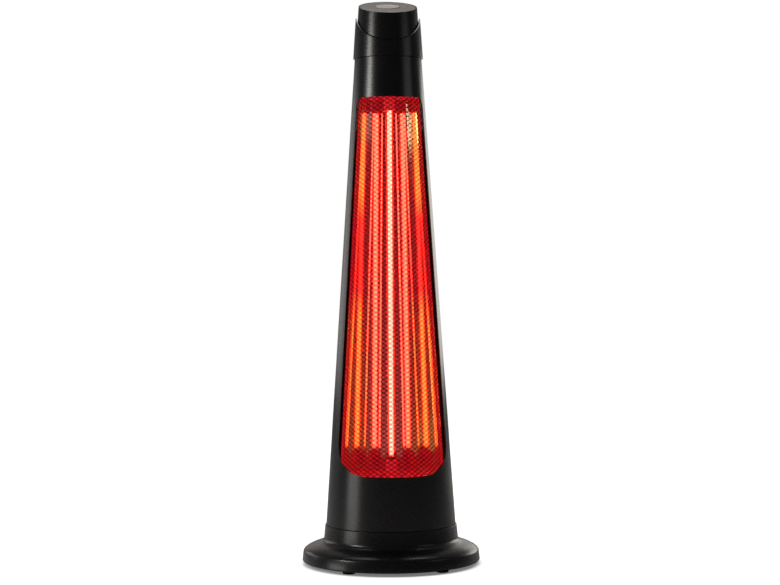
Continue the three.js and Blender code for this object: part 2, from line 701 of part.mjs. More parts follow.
// Upright channel that ties the turntable, the end plates and the neck together
function steelSpine() {
  const z0 = turntableTopZ + CLEARANCE;
  const z1 = neckTopZ - NECK_THICKNESS - CLEARANCE;
  const x = SPINE_WIDTH / 2;
  const front = SPINE_BACK - SPINE_DEPTH;
  const wall = SPINE_WALL;
  return prism([
    [-x, front], [x, front], [x, SPINE_BACK], [x - wall, SPINE_BACK], [x - wall, front + wall],
    [wall - x, front + wall], [wall - x, SPINE_BACK], [-x, SPINE_BACK],
  ], z0, z1);
}

const atLamp = (geometry) => geometry.translate(0, -LAMP_FORWARD, 0);
const lampZ = lowerPlateTopZ + CLEARANCE + LAMP_END_HEIGHT;
const lampTopZ = upperPlateZ - CLEARANCE - LAMP_END_HEIGHT;

function lampTube() {
  const z0 = lampZ - LAMP_SOCKET_DEPTH + CLEARANCE;
  const z1 = lampTopZ + LAMP_SOCKET_DEPTH - CLEARANCE;
  return atLamp(tube(LAMP_RADIUS - LAMP_GLASS, LAMP_RADIUS, z0, z1));
}

function lampFilament() {
  const z0 = lampZ - LAMP_SOCKET_DEPTH + CLEARANCE;
  const z1 = lampTopZ + LAMP_SOCKET_DEPTH - CLEARANCE;
  return atLamp(drum(FILAMENT_RADIUS, z0, z1, 10));
}

// Ceramic end with a socket for the tube; up is +1 where the socket opens upwards
function lampEnd(up) {
  const seat = up > 0 ? lampZ : lampTopZ;
  const middle = seat - up * LAMP_END_HEIGHT / 2;
  const body = block(LAMP_END_WIDTH, LAMP_END_WIDTH, LAMP_END_HEIGHT, [0, 0, middle]);
  const ends = [seat - up * LAMP_SOCKET_DEPTH, seat + up].sort((a, b) => a - b);
  return atLamp(cut(body, drum(LAMP_RADIUS + CLEARANCE, ...ends)));
}

// Angle bracket behind a ceramic end, its foot on the end plate
function lampBracket(up) {
  const plate = up > 0 ? lowerPlateTopZ + CLEARANCE : upperPlateZ - CLEARANCE;
  const back = LAMP_END_WIDTH / 2 + CLEARANCE;
  const height = LAMP_END_HEIGHT - BRACKET_DROP;
  const wall = BRACKET_THICKNESS;
  const leg = block(LAMP_END_WIDTH, wall, height, [0, back + wall / 2, plate + up * height / 2]);
  const footCentre = [0, back + BRACKET_FOOT / 2, plate + up * wall / 2];
  return atLamp(join(leg, block(LAMP_END_WIDTH, BRACKET_FOOT, wall, footCentre)));
}

// Bimetal cut-out: a round can with two tabs, on the upper end plate
function thermalCutout() {
  const z0 = upperPlateZ + END_PLATE + CLEARANCE;
  const can = drum(CUTOUT_RADIUS, z0, z0 + CUTOUT_HEIGHT);
  const lug = block(...CUTOUT_LUG, [0, 0, z0 + CUTOUT_LUG[2] / 2]);
  const tabMiddle = z0 + CUTOUT_HEIGHT + CUTOUT_TAB[2] / 2 - 1;
  const tabs = [-1, 1].map((side) => (
    block(...CUTOUT_TAB, [side * CUTOUT_TAB_OFFSET, 0, tabMiddle])
  ));
  return join(can, lug, ...tabs).translate(0, -LAMP_FORWARD / 2, 0);
}

// Neck: plate near the tower top with a spigot inside the cap
function neck() {
  const plateZ = neckTopZ - NECK_THICKNESS;
  const spigotTopZ = towerTopZ + NECK_SPIGOT;
  const plateRadius = towerInner(neckTopZ) - 2 * CLEARANCE;
  const spigot = capInner(spigotTopZ) - CLEARANCE;
  return turned([
    [NECK_BORE, plateZ],
    [plateRadius, plateZ],
    [plateRadius, neckTopZ],
    [spigot, neckTopZ],
    [spigot, spigotTopZ],
    [spigot - NECK_WALL, spigotTopZ],
    [spigot - NECK_WALL, neckTopZ],
    [NECK_BORE, neckTopZ],
  ], HEAD_FACETS);
}

// Moves a piece drawn round z = 0 onto the slanted top
function ontoTop(geometry) {
  return geometry.rotateX(radians(TOP_TILT)).translate(0, 0, headTopZ);
}

// Everything above a level of the slanted top
function aboveTop(level) {
  const reach = 4 * TOWER_TOP_RADIUS;
  return ontoTop(block(reach, reach, reach, [0, 0, level + reach / 2]));
}

const headroomZ = headTopZ + TOWER_TOP_RADIUS;
const panelTop = -PANEL_RECESS;
const panelFoot = panelTop - PANEL_THICKNESS;
const roofFoot = panelFoot - CLEARANCE - CAP_WALL;

function capLayer(inset, low, high) {
  const core = cone((z) => towerLine(z) - CAP_INSET - inset, capZ, headroomZ);
  const below = cut(core, aboveTop(high));
  return common(below, aboveTop(low));
}

// Cap: tapered cup with a slanted roof, a recess for the panel and posts for the board
function headCap() {
  const outer = cut(cone((z) => towerLine(z) - CAP_INSET, capZ, headroomZ), aboveTop(0));
  const hollow = cut(cone(capInner, capZ - 1, headroomZ), aboveTop(roofFoot));
  const recess = capLayer(PANEL_RIM, panelFoot - CLEARANCE, 1);
  const mouth = BUTTON_RADIUS + BUTTON_FLANGE + BUTTON_GAP;
  const well = ontoTop(drum(mouth, roofFoot - 1, 1, 32));
  const boardTop = -BOARD_DEPTH + CLEARANCE;
  const posts = Array.from({ length: POST_COUNT }, (_, i) => {
    const [x, y] = around(i * 360 / POST_COUNT, BOARD_RADIUS - POST_INSET, 0);
    return ontoTop(drum(POST_RADIUS, boardTop, roofFoot + 1, 12).translate(x, y, 0));
  });
  return join(cut(outer, hollow, recess, well), ...posts);
}

function topPanel() {
  const plate = capLayer(PANEL_RIM + CLEARANCE, panelFoot, panelTop);
  return cut(plate, ontoTop(drum(BUTTON_RADIUS + BUTTON_GAP, panelFoot - 1, 1, 32)));
}

// Button: a flat disc with a flange that stops under the panel
function pushButton() {
  const flangeTop = panelFoot - CLEARANCE;
  const flangeFoot = flangeTop - BUTTON_FLANGE;
  const top = panelTop + BUTTON_PROUD;
  const profile = [
    [0, flangeFoot],
    [BUTTON_RADIUS + BUTTON_FLANGE, flangeFoot],
    [BUTTON_RADIUS + BUTTON_FLANGE, flangeTop],
    [BUTTON_RADIUS, flangeTop],
    [BUTTON_RADIUS, top - BUTTON_EDGE],
    [BUTTON_RADIUS - BUTTON_EDGE, top],
    [0, top],
  ];
  const points = profile.map(([r, z]) => new THREE.Vector2(r, z));
  return ontoTop(new THREE.LatheGeometry(points, 32).rotateX(Math.PI / 2));
}

const plungerTop = panelFoot - 2 * CLEARANCE - BUTTON_FLANGE;
const switchTop = -BOARD_DEPTH + CLEARANCE + SWITCH_HEIGHT;
const switchFloor = switchTop - SWITCH_HEIGHT + SWITCH_FLOOR;

function switchPlunger() {
  return ontoTop(drum(PLUNGER_RADIUS, switchFloor + BUTTON_TRAVEL + CLEARANCE, plungerTop, 16));
}

function buttonSwitch() {
  const foot = -BOARD_DEPTH + CLEARANCE;
  const body = block(SWITCH_SIZE, SWITCH_SIZE, SWITCH_HEIGHT, [0, 0, foot + SWITCH_HEIGHT / 2]);
  const bore = drum(PLUNGER_RADIUS + CLEARANCE, switchFloor, switchTop + 1, 16);
  return ontoTop(cut(body, bore));
}

function controlBoard() {
  const top = -BOARD_DEPTH;
  return ontoTop(drum(BOARD_RADIUS, top - BOARD_THICKNESS, top, 32));
}

// Sleeve: thin ring that stands off the cap, scooped in front and behind to a tip at each side
function sleeve() {
  const outer = (z) => towerLine(z) + SLEEVE_STANDOFF;
  const inner = (z) => outer(z) - SLEEVE_WALL;
  const ledgeTopZ = sleeveZ + SLEEVE_LEDGE;
  const ledgeInner = capInner(towerTopZ + NECK_SPIGOT) + CLEARANCE;
  const topZ = sleeveZ + SLEEVE_HEIGHT;
  const ring = turned([
    [ledgeInner, sleeveZ],
    [outer(sleeveZ), sleeveZ],
    [outer(topZ), topZ],
    [inner(topZ), topZ],
    [inner(ledgeTopZ), ledgeTopZ],
    [ledgeInner, ledgeTopZ],
  ], HEAD_FACETS);
  const reach = 4 * TOWER_TOP_RADIUS;
  const scoop = block(reach, reach, reach, [0, 0, reach / 2]).rotateX(radians(SCOOP_TILT));
  scoop.translate(0, -outer(sleeveZ + SCOOP_LOW), sleeveZ + SCOOP_LOW);
  const frontHalf = block(reach, reach, reach, [0, -reach / 2, sleeveZ + reach / 2]);
  const frontScoop = common(scoop, frontHalf);
  return cut(ring, frontScoop, frontScoop.clone().rotateZ(Math.PI));
}

const finishes = {
  blackPlastic: { color: 0x17171a, roughness: 0.42, metalness: 0 },
  panelPlastic: { color: 0x4a4540, roughness: 0.3, metalness: 0 },
  greyPlastic: { color: 0xb4b0aa, roughness: 0.5, metalness: 0 },
  innerPlastic: { color: 0x2b2c2e, roughness: 0.7, metalness: 0 },
  rubber: { color: 0x121212, roughness: 0.9, metalness: 0 },
  castIron: { color: 0x3a3a3c, roughness: 0.8, metalness: 0.6 },
  zincSteel: { color: 0xa9abad, roughness: 0.45, metalness: 0.9 },
  guardSteel: { color: 0x2a2322, roughness: 0.5, metalness: 0.7 },
  mirrorAluminium: { color: 0xd8d4cf, roughness: 0.15, metalness: 1 },
  acetal: { color: 0xe6e3da, roughness: 0.5, metalness: 0 },
  quartz: { color: 0xf4efe6, roughness: 0.08, metalness: 0, transparent: true, opacity: 0.4 },
  carbon: { color: 0xffb070, roughness: 0.6, metalness: 0 },
  ceramic: { color: 0xe9e2d4, roughness: 0.7, metalness: 0 },
  circuitBoard: { color: 0x2f5a38, roughness: 0.6, metalness: 0 },
};

const materials = Object.fromEntries(Object.entries(finishes).map(([name, values]) => (
  [name, new THREE.MeshStandardMaterial(values)]
)));

function piece(name, geometry, finish, place = [0, 0, 0]) {
  const mesh = new THREE.Mesh(geometry, materials[finish]);
  mesh.name = name;
  mesh.position.set(...place);
  return mesh;
}

function baseGroup() {
  const group = new THREE.Group();
  const [moduleX, moduleY] = MODULE_OFFSET;
  group.add(
    piece('base_shell', baseShell(), 'blackPlastic'),
    piece('base_bottom_plate', bottomPlate(), 'zincSteel'),
    piece('ballast_weight', ballast(), 'castIron'),
    piece('cable_gland', cableGland(), 'rubber'),
    piece('tip_over_switch', tipOverSwitch(), 'innerPlastic', [-moduleX, moduleY, 0]),
    piece('terminal_block', terminalBlock(), 'acetal', [moduleX, moduleY, 0]),
    piece('bearing_ring', bearingRing(), 'acetal'),
    piece('oscillation_motor', oscillationMotor(), 'zincSteel'),
    piece('drive_pinion', drivePinion(), 'acetal'),
  );
  footAngles().forEach((angle, i) => {
    const place = around(angle, footCircle, 0);
    group.add(piece(`rubber_foot_${i + 1}`, foot(), 'rubber', place));
  });
  return group;
}

function towerGroup() {
  const group = new THREE.Group();
  group.add(
    piece('turntable', turntable(), 'innerPlastic'),
    piece('ring_gear', ringGear(), 'acetal'),
    piece('retaining_ring', retainingRing(), 'zincSteel'),
    piece('front_shell', frontShell(), 'blackPlastic'),
    piece('rear_cover', rearCover(), 'blackPlastic'),
    piece('guard_net', guardNet(), 'guardSteel'),
    piece('reflector', reflector(), 'mirrorAluminium'),
    piece('lower_end_plate', endPlate(lowerPlateTopZ - END_PLATE), 'mirrorAluminium'),
    piece('upper_end_plate', endPlate(upperPlateZ), 'mirrorAluminium'),
    piece('steel_spine', steelSpine(), 'zincSteel'),
    piece('lamp_tube', lampTube(), 'quartz'),
    piece('lamp_filament', lampFilament(), 'carbon'),
    piece('lamp_end_lower', lampEnd(1), 'ceramic'),
    piece('lamp_end_upper', lampEnd(-1), 'ceramic'),
    piece('lamp_bracket_lower', lampBracket(1), 'zincSteel'),
    piece('lamp_bracket_upper', lampBracket(-1), 'zincSteel'),
    piece('thermal_cutout', thermalCutout(), 'zincSteel'),
    piece('neck', neck(), 'innerPlastic'),
  );
  return group;
}

function headGroup() {
  const group = new THREE.Group();
  group.add(
    piece('sleeve', sleeve(), 'blackPlastic'),
    piece('head_cap', headCap(), 'blackPlastic'),
    piece('top_panel', topPanel(), 'panelPlastic'),
    piece('push_button', pushButton(), 'greyPlastic'),
    piece('switch_plunger', switchPlunger(), 'acetal'),
    piece('button_switch', buttonSwitch(), 'innerPlastic'),
    piece('control_board', controlBoard(), 'circuitBoard'),
  );
  return group;
}

const heater = new THREE.Group();
heater.name = 'infrared_patio_heater_tower';
heater.add(baseGroup(), towerGroup(), headGroup());

export default heater;
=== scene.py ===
"""Looks of an infrared patio heater tower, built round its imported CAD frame. Metres, +Z up, front to -Y."""
import math

import bmesh
import bpy
from mathutils import Matrix, Vector


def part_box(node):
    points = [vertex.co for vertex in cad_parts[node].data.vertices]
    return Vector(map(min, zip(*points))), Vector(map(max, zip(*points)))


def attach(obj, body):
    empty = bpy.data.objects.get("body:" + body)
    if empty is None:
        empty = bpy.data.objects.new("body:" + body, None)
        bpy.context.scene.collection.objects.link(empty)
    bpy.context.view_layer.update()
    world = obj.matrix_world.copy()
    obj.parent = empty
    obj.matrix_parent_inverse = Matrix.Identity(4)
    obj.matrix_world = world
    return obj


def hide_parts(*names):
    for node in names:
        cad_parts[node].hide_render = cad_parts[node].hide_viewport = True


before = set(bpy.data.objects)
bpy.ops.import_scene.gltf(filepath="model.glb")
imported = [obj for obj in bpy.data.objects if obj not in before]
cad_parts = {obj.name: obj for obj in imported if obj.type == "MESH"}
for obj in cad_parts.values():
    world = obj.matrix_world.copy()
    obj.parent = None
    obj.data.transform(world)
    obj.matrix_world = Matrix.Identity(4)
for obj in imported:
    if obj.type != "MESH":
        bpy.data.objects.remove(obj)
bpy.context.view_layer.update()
MM = 0.001

# Sizes taken from the frame
BASE_LOW, BASE_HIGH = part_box("base_shell")
SHELL_LOW, SHELL_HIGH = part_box("front_shell")
SLEEVE_LOW, SLEEVE_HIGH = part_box("sleeve")
CAP_LOW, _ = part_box("head_cap")
NET_LOW, NET_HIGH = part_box("guard_net")
REFLECTOR_LOW, REFLECTOR_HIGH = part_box("reflector")
TUBE_LOW, TUBE_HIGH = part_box("lamp_tube")
GLAND_LOW, GLAND_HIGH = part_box("cable_gland")
PLATE_LOW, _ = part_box("base_bottom_plate")

# Tower: one straight taper from the seam to the head
TOWER_LOW, TOWER_TOP = SHELL_LOW.z, SHELL_HIGH.z
TOWER_FOOT_RADIUS = 94.8 * MM
TOWER_TOP_RADIUS = 48.9 * MM
TOWER_WALL = 2.5 * MM
WINDOW_LIP = 1.2 * MM  # the wall thins to this at the window's edge
TAPER = (TOWER_FOOT_RADIUS - TOWER_TOP_RADIUS) / (TOWER_TOP - TOWER_LOW)
REAR_JOINT = 105  # degrees from the front, where shell and rear cover meet
JOINT_GAP = 0.3 * MM
TURN_STEPS = 192
TURN_ANGLES = [360 * i / TURN_STEPS for i in range(TURN_STEPS)]  # degrees

# Base, from its rim inwards and from its foot or its seam
RIM_CHAMFER = 1.6 * MM
RIM_WALL = 9 * MM
CREASE_INSET = 1.4 * MM  # the crease parts the upright rim from the flared top
CREASE_HEIGHT = 15 * MM
SHOULDER_INSET = 19 * MM
SHOULDER_HEIGHT = 25.6 * MM
COLLAR_MARGIN = 1.5 * MM  # how far the collar stands proud of the tower's foot
COLLAR_FLARE = 1.9 * MM
COLLAR_DROP = 18.7 * MM  # from the seam down to the end of the flare
BASE_WALL = 3 * MM
DECK_DROP = 8.7 * MM
HUB_RADIUS = 16.6 * MM
FOOT_COUNT = 5
FOOT_RADIUS = 9 * MM
FOOT_PLATE = 4.5 * MM
FOOT_STEM = 3.5 * MM

# Window, in degrees from the front and heights
WINDOW_HALF = 64
WINDOW_SILL = TOWER_LOW + 76.8 * MM
WINDOW_LINTEL = TOWER_TOP - 58.7 * MM
WINDOW_TOP_CORNER = (16, 15 * MM)
WINDOW_SILL_CORNER = (40, 43 * MM)

# Vents: two columns of slots at the back, in rows near the foot and near the top
VENT_SPAN = 29  # degrees
VENT_BRIDGE = 8  # degrees between the columns
VENT_HEIGHT = 5 * MM
VENT_ROWS = 5
VENT_PITCH = 11 * MM
VENT_RISE = 24 * MM  # first row above the tower's foot
VENT_DROP = 53 * MM  # first row below its top

# Head
TOP_TILT = math.radians(17.8)
TOP_CENTRE_Z = TOWER_TOP + 76.7 * MM
CAP_INSET = 0.95 * MM
CAP_WALL = 2.5 * MM
PANEL_RIM = 1.6 * MM
PANEL_GAP = 0.3 * MM
PANEL_RECESS = 0.2 * MM
PANEL_THICKNESS = 1.8 * MM
SLEEVE_STANDOFF = 2.2 * MM
SLEEVE_WALL = 1.7 * MM
SLEEVE_LEDGE = 2 * MM
LEDGE_BORE_LEVEL = 11 * MM  # above the shell, where the cap's inner wall gives the ledge's bore
SCOOP_TILT = math.radians(37.8)
SCOOP_LOW = 21.8 * MM
POST_CIRCLE = 25 * MM
POST_RADIUS = 3 * MM
POST_FOOT = -16.7 * MM  # level of the slanted top
POST_OVERLAP = 1 * MM  # how far each post reaches into the roof
BUTTON_RADIUS = 17.4 * MM
BUTTON_FLANGE = 1.4 * MM
BUTTON_GAP = 0.35 * MM
BUTTON_PROUD = 0.7 * MM

# Radiant unit
LAMP_Y = (TUBE_LOW.y + TUBE_HIGH.y) / 2
LAMP_RADIUS = (TUBE_HIGH.x - TUBE_LOW.x) / 2
TUBE_WALL = 1.1 * MM
SOCKET_DEPTH = 7 * MM
FILAMENT_RADIUS = 3.2 * MM
FILAMENT_GROOVE = 2.7 * MM
FILAMENT_TURNS = 150
GUARD_INSET = 0.8 * MM  # inside the shell's inner face
GUARD_HALF = 70  # degrees from the front
GUARD_BORDER = 0.8  # degrees left free of strands at each side
DIAMOND_WIDTH = 10 * MM
DIAMOND_HEIGHT = 6.4 * MM
STRAND_WIDTH = 0.9 * MM
STRAND_THICKNESS = 0.4 * MM
STRAND_DEPTH = 0.6 * MM  # strand centres behind the guard's outer face

# Reflector: facets of one half at the sheet's mid height, counted from the lamp
# Each is (distance of the fold where it starts, distance at which it shows the lamp)
FACETS = ((13.5 * MM, 22.5 * MM), (32 * MM, 45.5 * MM), (46 * MM, 44.5 * MM), (52 * MM, 61.5 * MM))
FACETS_END = 57 * MM
FACETS_AZIMUTH = math.radians(-4)  # where the facets send the lamp's light
SHEET_DEPTH = 41.2 * MM  # lamp to sheet, at its mid height
SHEET_THICKNESS = 0.8 * MM
SHEET_MIDDLE = (REFLECTOR_LOW.z + REFLECTOR_HIGH.z) / 2
SHEET_EDGE = 67  # degrees from the front
SHEET_CLEARANCE = 3.9 * MM  # from the guard's outer face in to the sheet's edges
SHEET_STEPS = 24
FOLD_REACH = 2.5 * MM  # how far each rounded fold reaches into its facets

# Screws
SCREW_RADIUS = 3 * MM
PLATE_SCREWS = 6
PLATE_SCREW_CIRCLE = 50 * MM
REAR_SCREW_ANGLE = 126  # degrees from the front, on both sides
REAR_SCREW_HEIGHTS = (0.095, 0.4, 0.7)

# Heat: glow of the lamp, painted red glow of the parts near it, and tints and painted shade of the polished
# sheet
# red of the painted glow on parts near the lamp, which are no lamps
PAINTED_GLOW_COLOUR = (1.0, 0.008, 0.022)
GLOW_COLOUR = (1.0, 0.045, 0.03)  # far redder than it looks: its red runs past white
GLOW_LOW, GLOW_HIGH = 22.0, 27.0  # range of brightness along the winding
GLOW_BOOST = 1.7  # how much brighter the filament is to its reflections than to the eye
HOT_LOW, HOT_HIGH, HOT_FADE = 0.158, 0.668, 0.006  # heights of the filament's lit length
TINT_START, TINT_END = 0.026, 0.038  # distance from the middle where silver turns to gold
PAINTED_SHADE_LOW, PAINTED_SHADE_HIGH, PAINTED_SHADE_FADE = 0.36, 0.545, 0.04  # heights of the painted shade, between which the gold is darker and redder
# darker red of the painted shade on the sheet's sides
PAINTED_SHADE_TINT = (0.17, 0.025, 0.02)

# Studio
FRONT_LEVEL, BACK_LEVEL = 0.04, 0.12  # brightness of the surroundings before and behind the tower
FLOOR_REACH = 6  # half of the floor's side
CONTACT_REACH = 0.05  # how far the contact shadow spreads on the floor
NEAR_LIGHTS, FAR_LIGHTS = 1.5, 2.2  # distances from the tower's axis
WARM, COOL, CREAM, ROSY = (1, 0.97, 0.93), (0.93, 0.95, 1), (1, 0.96, 0.88), (1, 0.84, 0.78)

# Camera and picture
PICTURE_WIDTH = 780
CAMERA_DISTANCE = 2.675
CAMERA_HEIGHT = 0.4377
CAMERA_AZIMUTH = -4  # degrees from the front, to the left
CAMERA_PITCH = math.radians(0.8835)
CAMERA_YAW = math.radians(0.015)
CAMERA_ROLL = math.radians(0.354)
FOCAL_PIXELS = 1826
SENSOR_WIDTH = 36


def tower_line(z):
    return TOWER_FOOT_RADIUS - TAPER * (z - TOWER_LOW)


def tower_inner(z):
    return tower_line(z) - TOWER_WALL


def guard_line(z):
    return tower_inner(z) - GUARD_INSET


def around(degrees, radius, z):
    """Point at an azimuth from the front, counted to the right."""
    turn = math.radians(degrees)
    return Vector((radius * math.sin(turn), -radius * math.cos(turn), z))


def turns(steps, shift=0.0):
    """Even turns of a circle in radians; shift is a share of a step."""
    return [math.tau * (i + shift) / steps for i in range(steps)]


def steps_between(start, end, count):
    return [start + (end - start) * i / count for i in range(count + 1)]


def on_top(x, y, level):
    """Point of the slanted top: x and y along it, level square to it."""
    return Matrix.Rotation(TOP_TILT, 3, "X") @ Vector((x, y, level)) + Vector((0, 0, TOP_CENTRE_Z))


# Mesh building

def placed(name, data):
    """A new object in the scene."""
    thing = bpy.data.objects.new(name, data)
    bpy.context.scene.collection.objects.link(thing)
    return thing


def mesh_piece(name, points, faces, material, body, nodes=(), bevel=0.0, sharp=35):
    """A finished piece: cleaned mesh, smooth shading with sharp edges, small rounded edges."""
    mesh = bpy.data.meshes.new(name)
    mesh.from_pydata([tuple(p) for p in points], [], faces)
    shape = bmesh.new()
    shape.from_mesh(mesh)
    bmesh.ops.remove_doubles(shape, verts=shape.verts, dist=1e-6)
    bmesh.ops.dissolve_degenerate(shape, edges=shape.edges, dist=1e-7)
    bmesh.ops.recalc_face_normals(shape, faces=shape.faces)
    shape.to_mesh(mesh)
    shape.free()
    return dress(name, mesh, material, body, nodes, bevel, sharp)


def dress(name, mesh, material, body, nodes, bevel, sharp):
    """Makes a mesh a piece that rides a body and stands in for its CAD nodes."""
    piece = placed(name, mesh)
    mesh.materials.append(material)
    smooth(mesh, sharp)
    if bevel:
        round_edges(piece, bevel, 2, sharp)
    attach(piece, body)
    if nodes:
        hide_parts(*nodes)
    return piece


def smooth(mesh, sharp):
    """Smooth shading, with edges over an angle in degrees kept sharp."""
    mesh.shade_smooth()
    mesh.set_sharp_from_angle(angle=math.radians(sharp))


def round_edges(piece, width, segments, limit):
    """Rounds the edges over an angle in degrees."""
    edge = piece.modifiers.new("edges", "BEVEL")
    edge.width = width
    edge.segments = segments
    edge.limit_method = "ANGLE"
    edge.angle_limit = math.radians(limit)
    edge.harden_normals = True


def skin(rings, closed):
    """Points and faces through rings of equal length; open skins get a cap at each end."""
    count = len(rings[0])
    points = [p for ring in rings for p in ring]
    faces = []
    for k in range(len(rings) if closed else len(rings) - 1):
        low, high = k * count, (k + 1) % len(rings) * count
        for i in range(count):
            j = (i + 1) % count
            faces.append((low + i, low + j, high + j, high + i))
    if not closed:
        faces.append(tuple(range(count))[::-1])
        faces.append(tuple(range(len(points) - count, len(points))))
    return points, faces


def skin_columns(columns):
    """Closed skin through columns of points, one for each turn."""
    return skin([list(ring) for ring in zip(*columns)], True)


def circle(place, radius, z, steps, shift=0.0):
    """Points of a circle; place turns x, y and z into a point."""
    return [place(radius * math.cos(a), radius * math.sin(a), z) for a in turns(steps, shift)]


def plainly(x, y, z):
    return Vector((x, y, z))


def turned(profile, steps=TURN_STEPS, closed=True, place=plainly):
    """Rings of a turned piece whose profile points are (radius, height)."""
    return skin([circle(place, radius, z, steps) for radius, z in profile], closed)


def curve(start, control, end, steps=10):
    """Points of a quadratic curve, without its first one."""
    points = []
    for t in steps_between(0, 1, steps)[1:]:
        shares = ((1 - t) ** 2, 2 * t * (1 - t), t ** 2)
        points.append(tuple(sum(s * p[k] for s, p in zip(shares, (start, control, end))) for k in (0, 1)))
    return points


def join_parts(*parts):
    """Several (points, faces) as one."""
    points, faces = [], []
    for more_points, more_faces in parts:
        start = len(points)
        points.extend(more_points)
        faces.extend(tuple(start + i for i in face) for face in more_faces)
    return points, faces


# Materials

def new_material(name):
    """A material, its node tree and its shader."""
    material = bpy.data.materials.new(name)
    material.use_nodes = True
    return material, material.node_tree, shader_of(material)


def shader_of(material):
    return next(node for node in material.node_tree.nodes if node.type == "BSDF_PRINCIPLED")


def noise(tree, scale, detail=3.0, stretch=(1, 1, 1)):
    """Noise that is fixed to the object."""
    where = tree.nodes.new("ShaderNodeTexCoord")
    mapping = tree.nodes.new("ShaderNodeMapping")
    mapping.inputs["Scale"].default_value = stretch
    grain = tree.nodes.new("ShaderNodeTexNoise")
    grain.inputs["Scale"].default_value = scale
    grain.inputs["Detail"].default_value = detail
    tree.links.new(where.outputs["Object"], mapping.inputs["Vector"])
    tree.links.new(mapping.outputs["Vector"], grain.inputs["Vector"])
    return grain.outputs["Fac"]


def ranged(tree, value, low, high, start=0.3, end=0.7):
    """A value between start and end, spread over low to high."""
    spread = tree.nodes.new("ShaderNodeMapRange")
    for name, number in (("From Min", start), ("From Max", end), ("To Min", low), ("To Max", high)):
        spread.inputs[name].default_value = number
    tree.links.new(value, spread.inputs["Value"])
    return spread.outputs["Result"]


def mixed(tree, share, first, second):
    """Colour mix; first and second are colours or sockets."""
    mix = tree.nodes.new("ShaderNodeMix")
    mix.data_type = "RGBA"
    tree.links.new(share, mix.inputs["Factor"])
    for socket, value in zip(mix.inputs[6:8], (first, second)):  # the mix node's two colour sockets
        if isinstance(value, bpy.types.NodeSocket):
            tree.links.new(value, socket)
        else:
            socket.default_value = (*value, 1)
    return mix.outputs[2]


def product(tree, first, second):
    times = tree.nodes.new("ShaderNodeMath")
    times.operation = "MULTIPLY"
    tree.links.new(first, times.inputs[0])
    tree.links.new(second, times.inputs[1])
    return times.outputs[0]


def band(tree, value, low, high, fade):
    """1 between low and high, fading to 0 towards both."""
    above = ranged(tree, value, 0, 1, low, low + fade)
    below = ranged(tree, value, 1, 0, high - fade, high)
    return product(tree, above, below)


def axis_of(tree, axis, coordinates="Object"):
    """One of the three coordinates of the shaded point."""
    split = tree.nodes.new("ShaderNodeSeparateXYZ")
    tree.links.new(tree.nodes.new("ShaderNodeTexCoord").outputs[coordinates], split.inputs["Vector"])
    return split.outputs[axis]


def add_relief(tree, shader, height, strength, depth):
    """Fine relief, too small to be modelled."""
    relief = tree.nodes.new("ShaderNodeBump")
    relief.inputs["Strength"].default_value = strength
    relief.inputs["Distance"].default_value = depth
    tree.links.new(height, relief.inputs["Height"])
    tree.links.new(relief.outputs["Normal"], shader.inputs["Normal"])


# Painted red glow: a part that is no lamp gives off red light, standing in for the lamp's light falling on
# it.
def painted_red_glow(shader, strength):
    shader.inputs["Emission Color"].default_value = (*PAINTED_GLOW_COLOUR, 1)
    shader.inputs["Emission Strength"].default_value = strength


def finish_of(name, colour, roughness, metallic=0.0, specular=0.5, grain=900, bump=0.06,
              mottle=0.12, wear=0.35, stretch=(1, 1, 1)):
    """Procedural finish: mottled colour, lighter worn edges, uneven gloss and a fine grain."""
    material, tree, shader = new_material(name)
    blotch = noise(tree, 24, detail=4.0)
    fine = noise(tree, grain, 2.0, stretch)
    darker = tuple(c * (1 - mottle) for c in colour)
    lighter = tuple(min(1, c * (1 + mottle)) for c in colour)
    body_colour = mixed(tree, ranged(tree, blotch, 0, 1), darker, lighter)
    edges = tree.nodes.new("ShaderNodeNewGeometry").outputs["Pointiness"]
    worn = tuple(min(1, c * 1.5 + 0.012) for c in colour)
    edge_share = ranged(tree, edges, 0, wear, start=0.53, end=0.62)
    tree.links.new(mixed(tree, edge_share, body_colour, worn), shader.inputs["Base Color"])
    gloss = ranged(tree, fine, roughness * 0.88, min(1, roughness * 1.12))
    tree.links.new(gloss, shader.inputs["Roughness"])
    shader.inputs["Metallic"].default_value = metallic
    shader.inputs["Specular IOR Level"].default_value = specular
    add_relief(tree, shader, fine, bump, 0.2 * MM)
    return material


def mirror_finish(name, middle, side, roughness, waves):
    """Polished sheet under a soft lacquer, with a painted dull red glow.

    Its tint goes from the middle's to the sides', and halfway up the sides' tint is darker and redder, a
    painted shade that dims the lamp's reflections there.
    """
    material, tree, shader = new_material(name)
    streaks = noise(tree, 420, detail=2.0, stretch=(1, 1, 0.02))
    soft = noise(tree, 45, detail=2.0, stretch=(1, 1, 0.3))
    across = tree.nodes.new("ShaderNodeMath")
    across.operation = "ABSOLUTE"
    tree.links.new(axis_of(tree, "X"), across.inputs[0])
    # Painted shade: halfway up, the sides' tint turns darker and redder, dimming the lamp's reflections
    # there.
    painted_shade_band = band(tree, axis_of(tree, "Z"), PAINTED_SHADE_LOW, PAINTED_SHADE_HIGH, PAINTED_SHADE_FADE)
    side_tint = mixed(tree, painted_shade_band, side, PAINTED_SHADE_TINT)
    outwards = ranged(tree, across.outputs[0], 0, 1, TINT_START, TINT_END)
    tint = mixed(tree, outwards, middle, side_tint)
    dulled = mixed(tree, ranged(tree, streaks, 0, 0.25), tint, tuple(c * 0.6 for c in middle))
    tree.links.new(dulled, shader.inputs["Base Color"])
    tree.links.new(ranged(tree, streaks, roughness * 0.7, roughness * 1.3), shader.inputs["Roughness"])
    shader.inputs["Metallic"].default_value = 1
    shader.inputs["Coat Weight"].default_value = 0.35
    shader.inputs["Coat Roughness"].default_value = 0.5
    # painted red glow on the sheet, standing in for the lamp's light on it
    painted_red_glow(shader, 0.3)
    add_relief(tree, shader, soft, waves, 0.5 * MM)
    return material


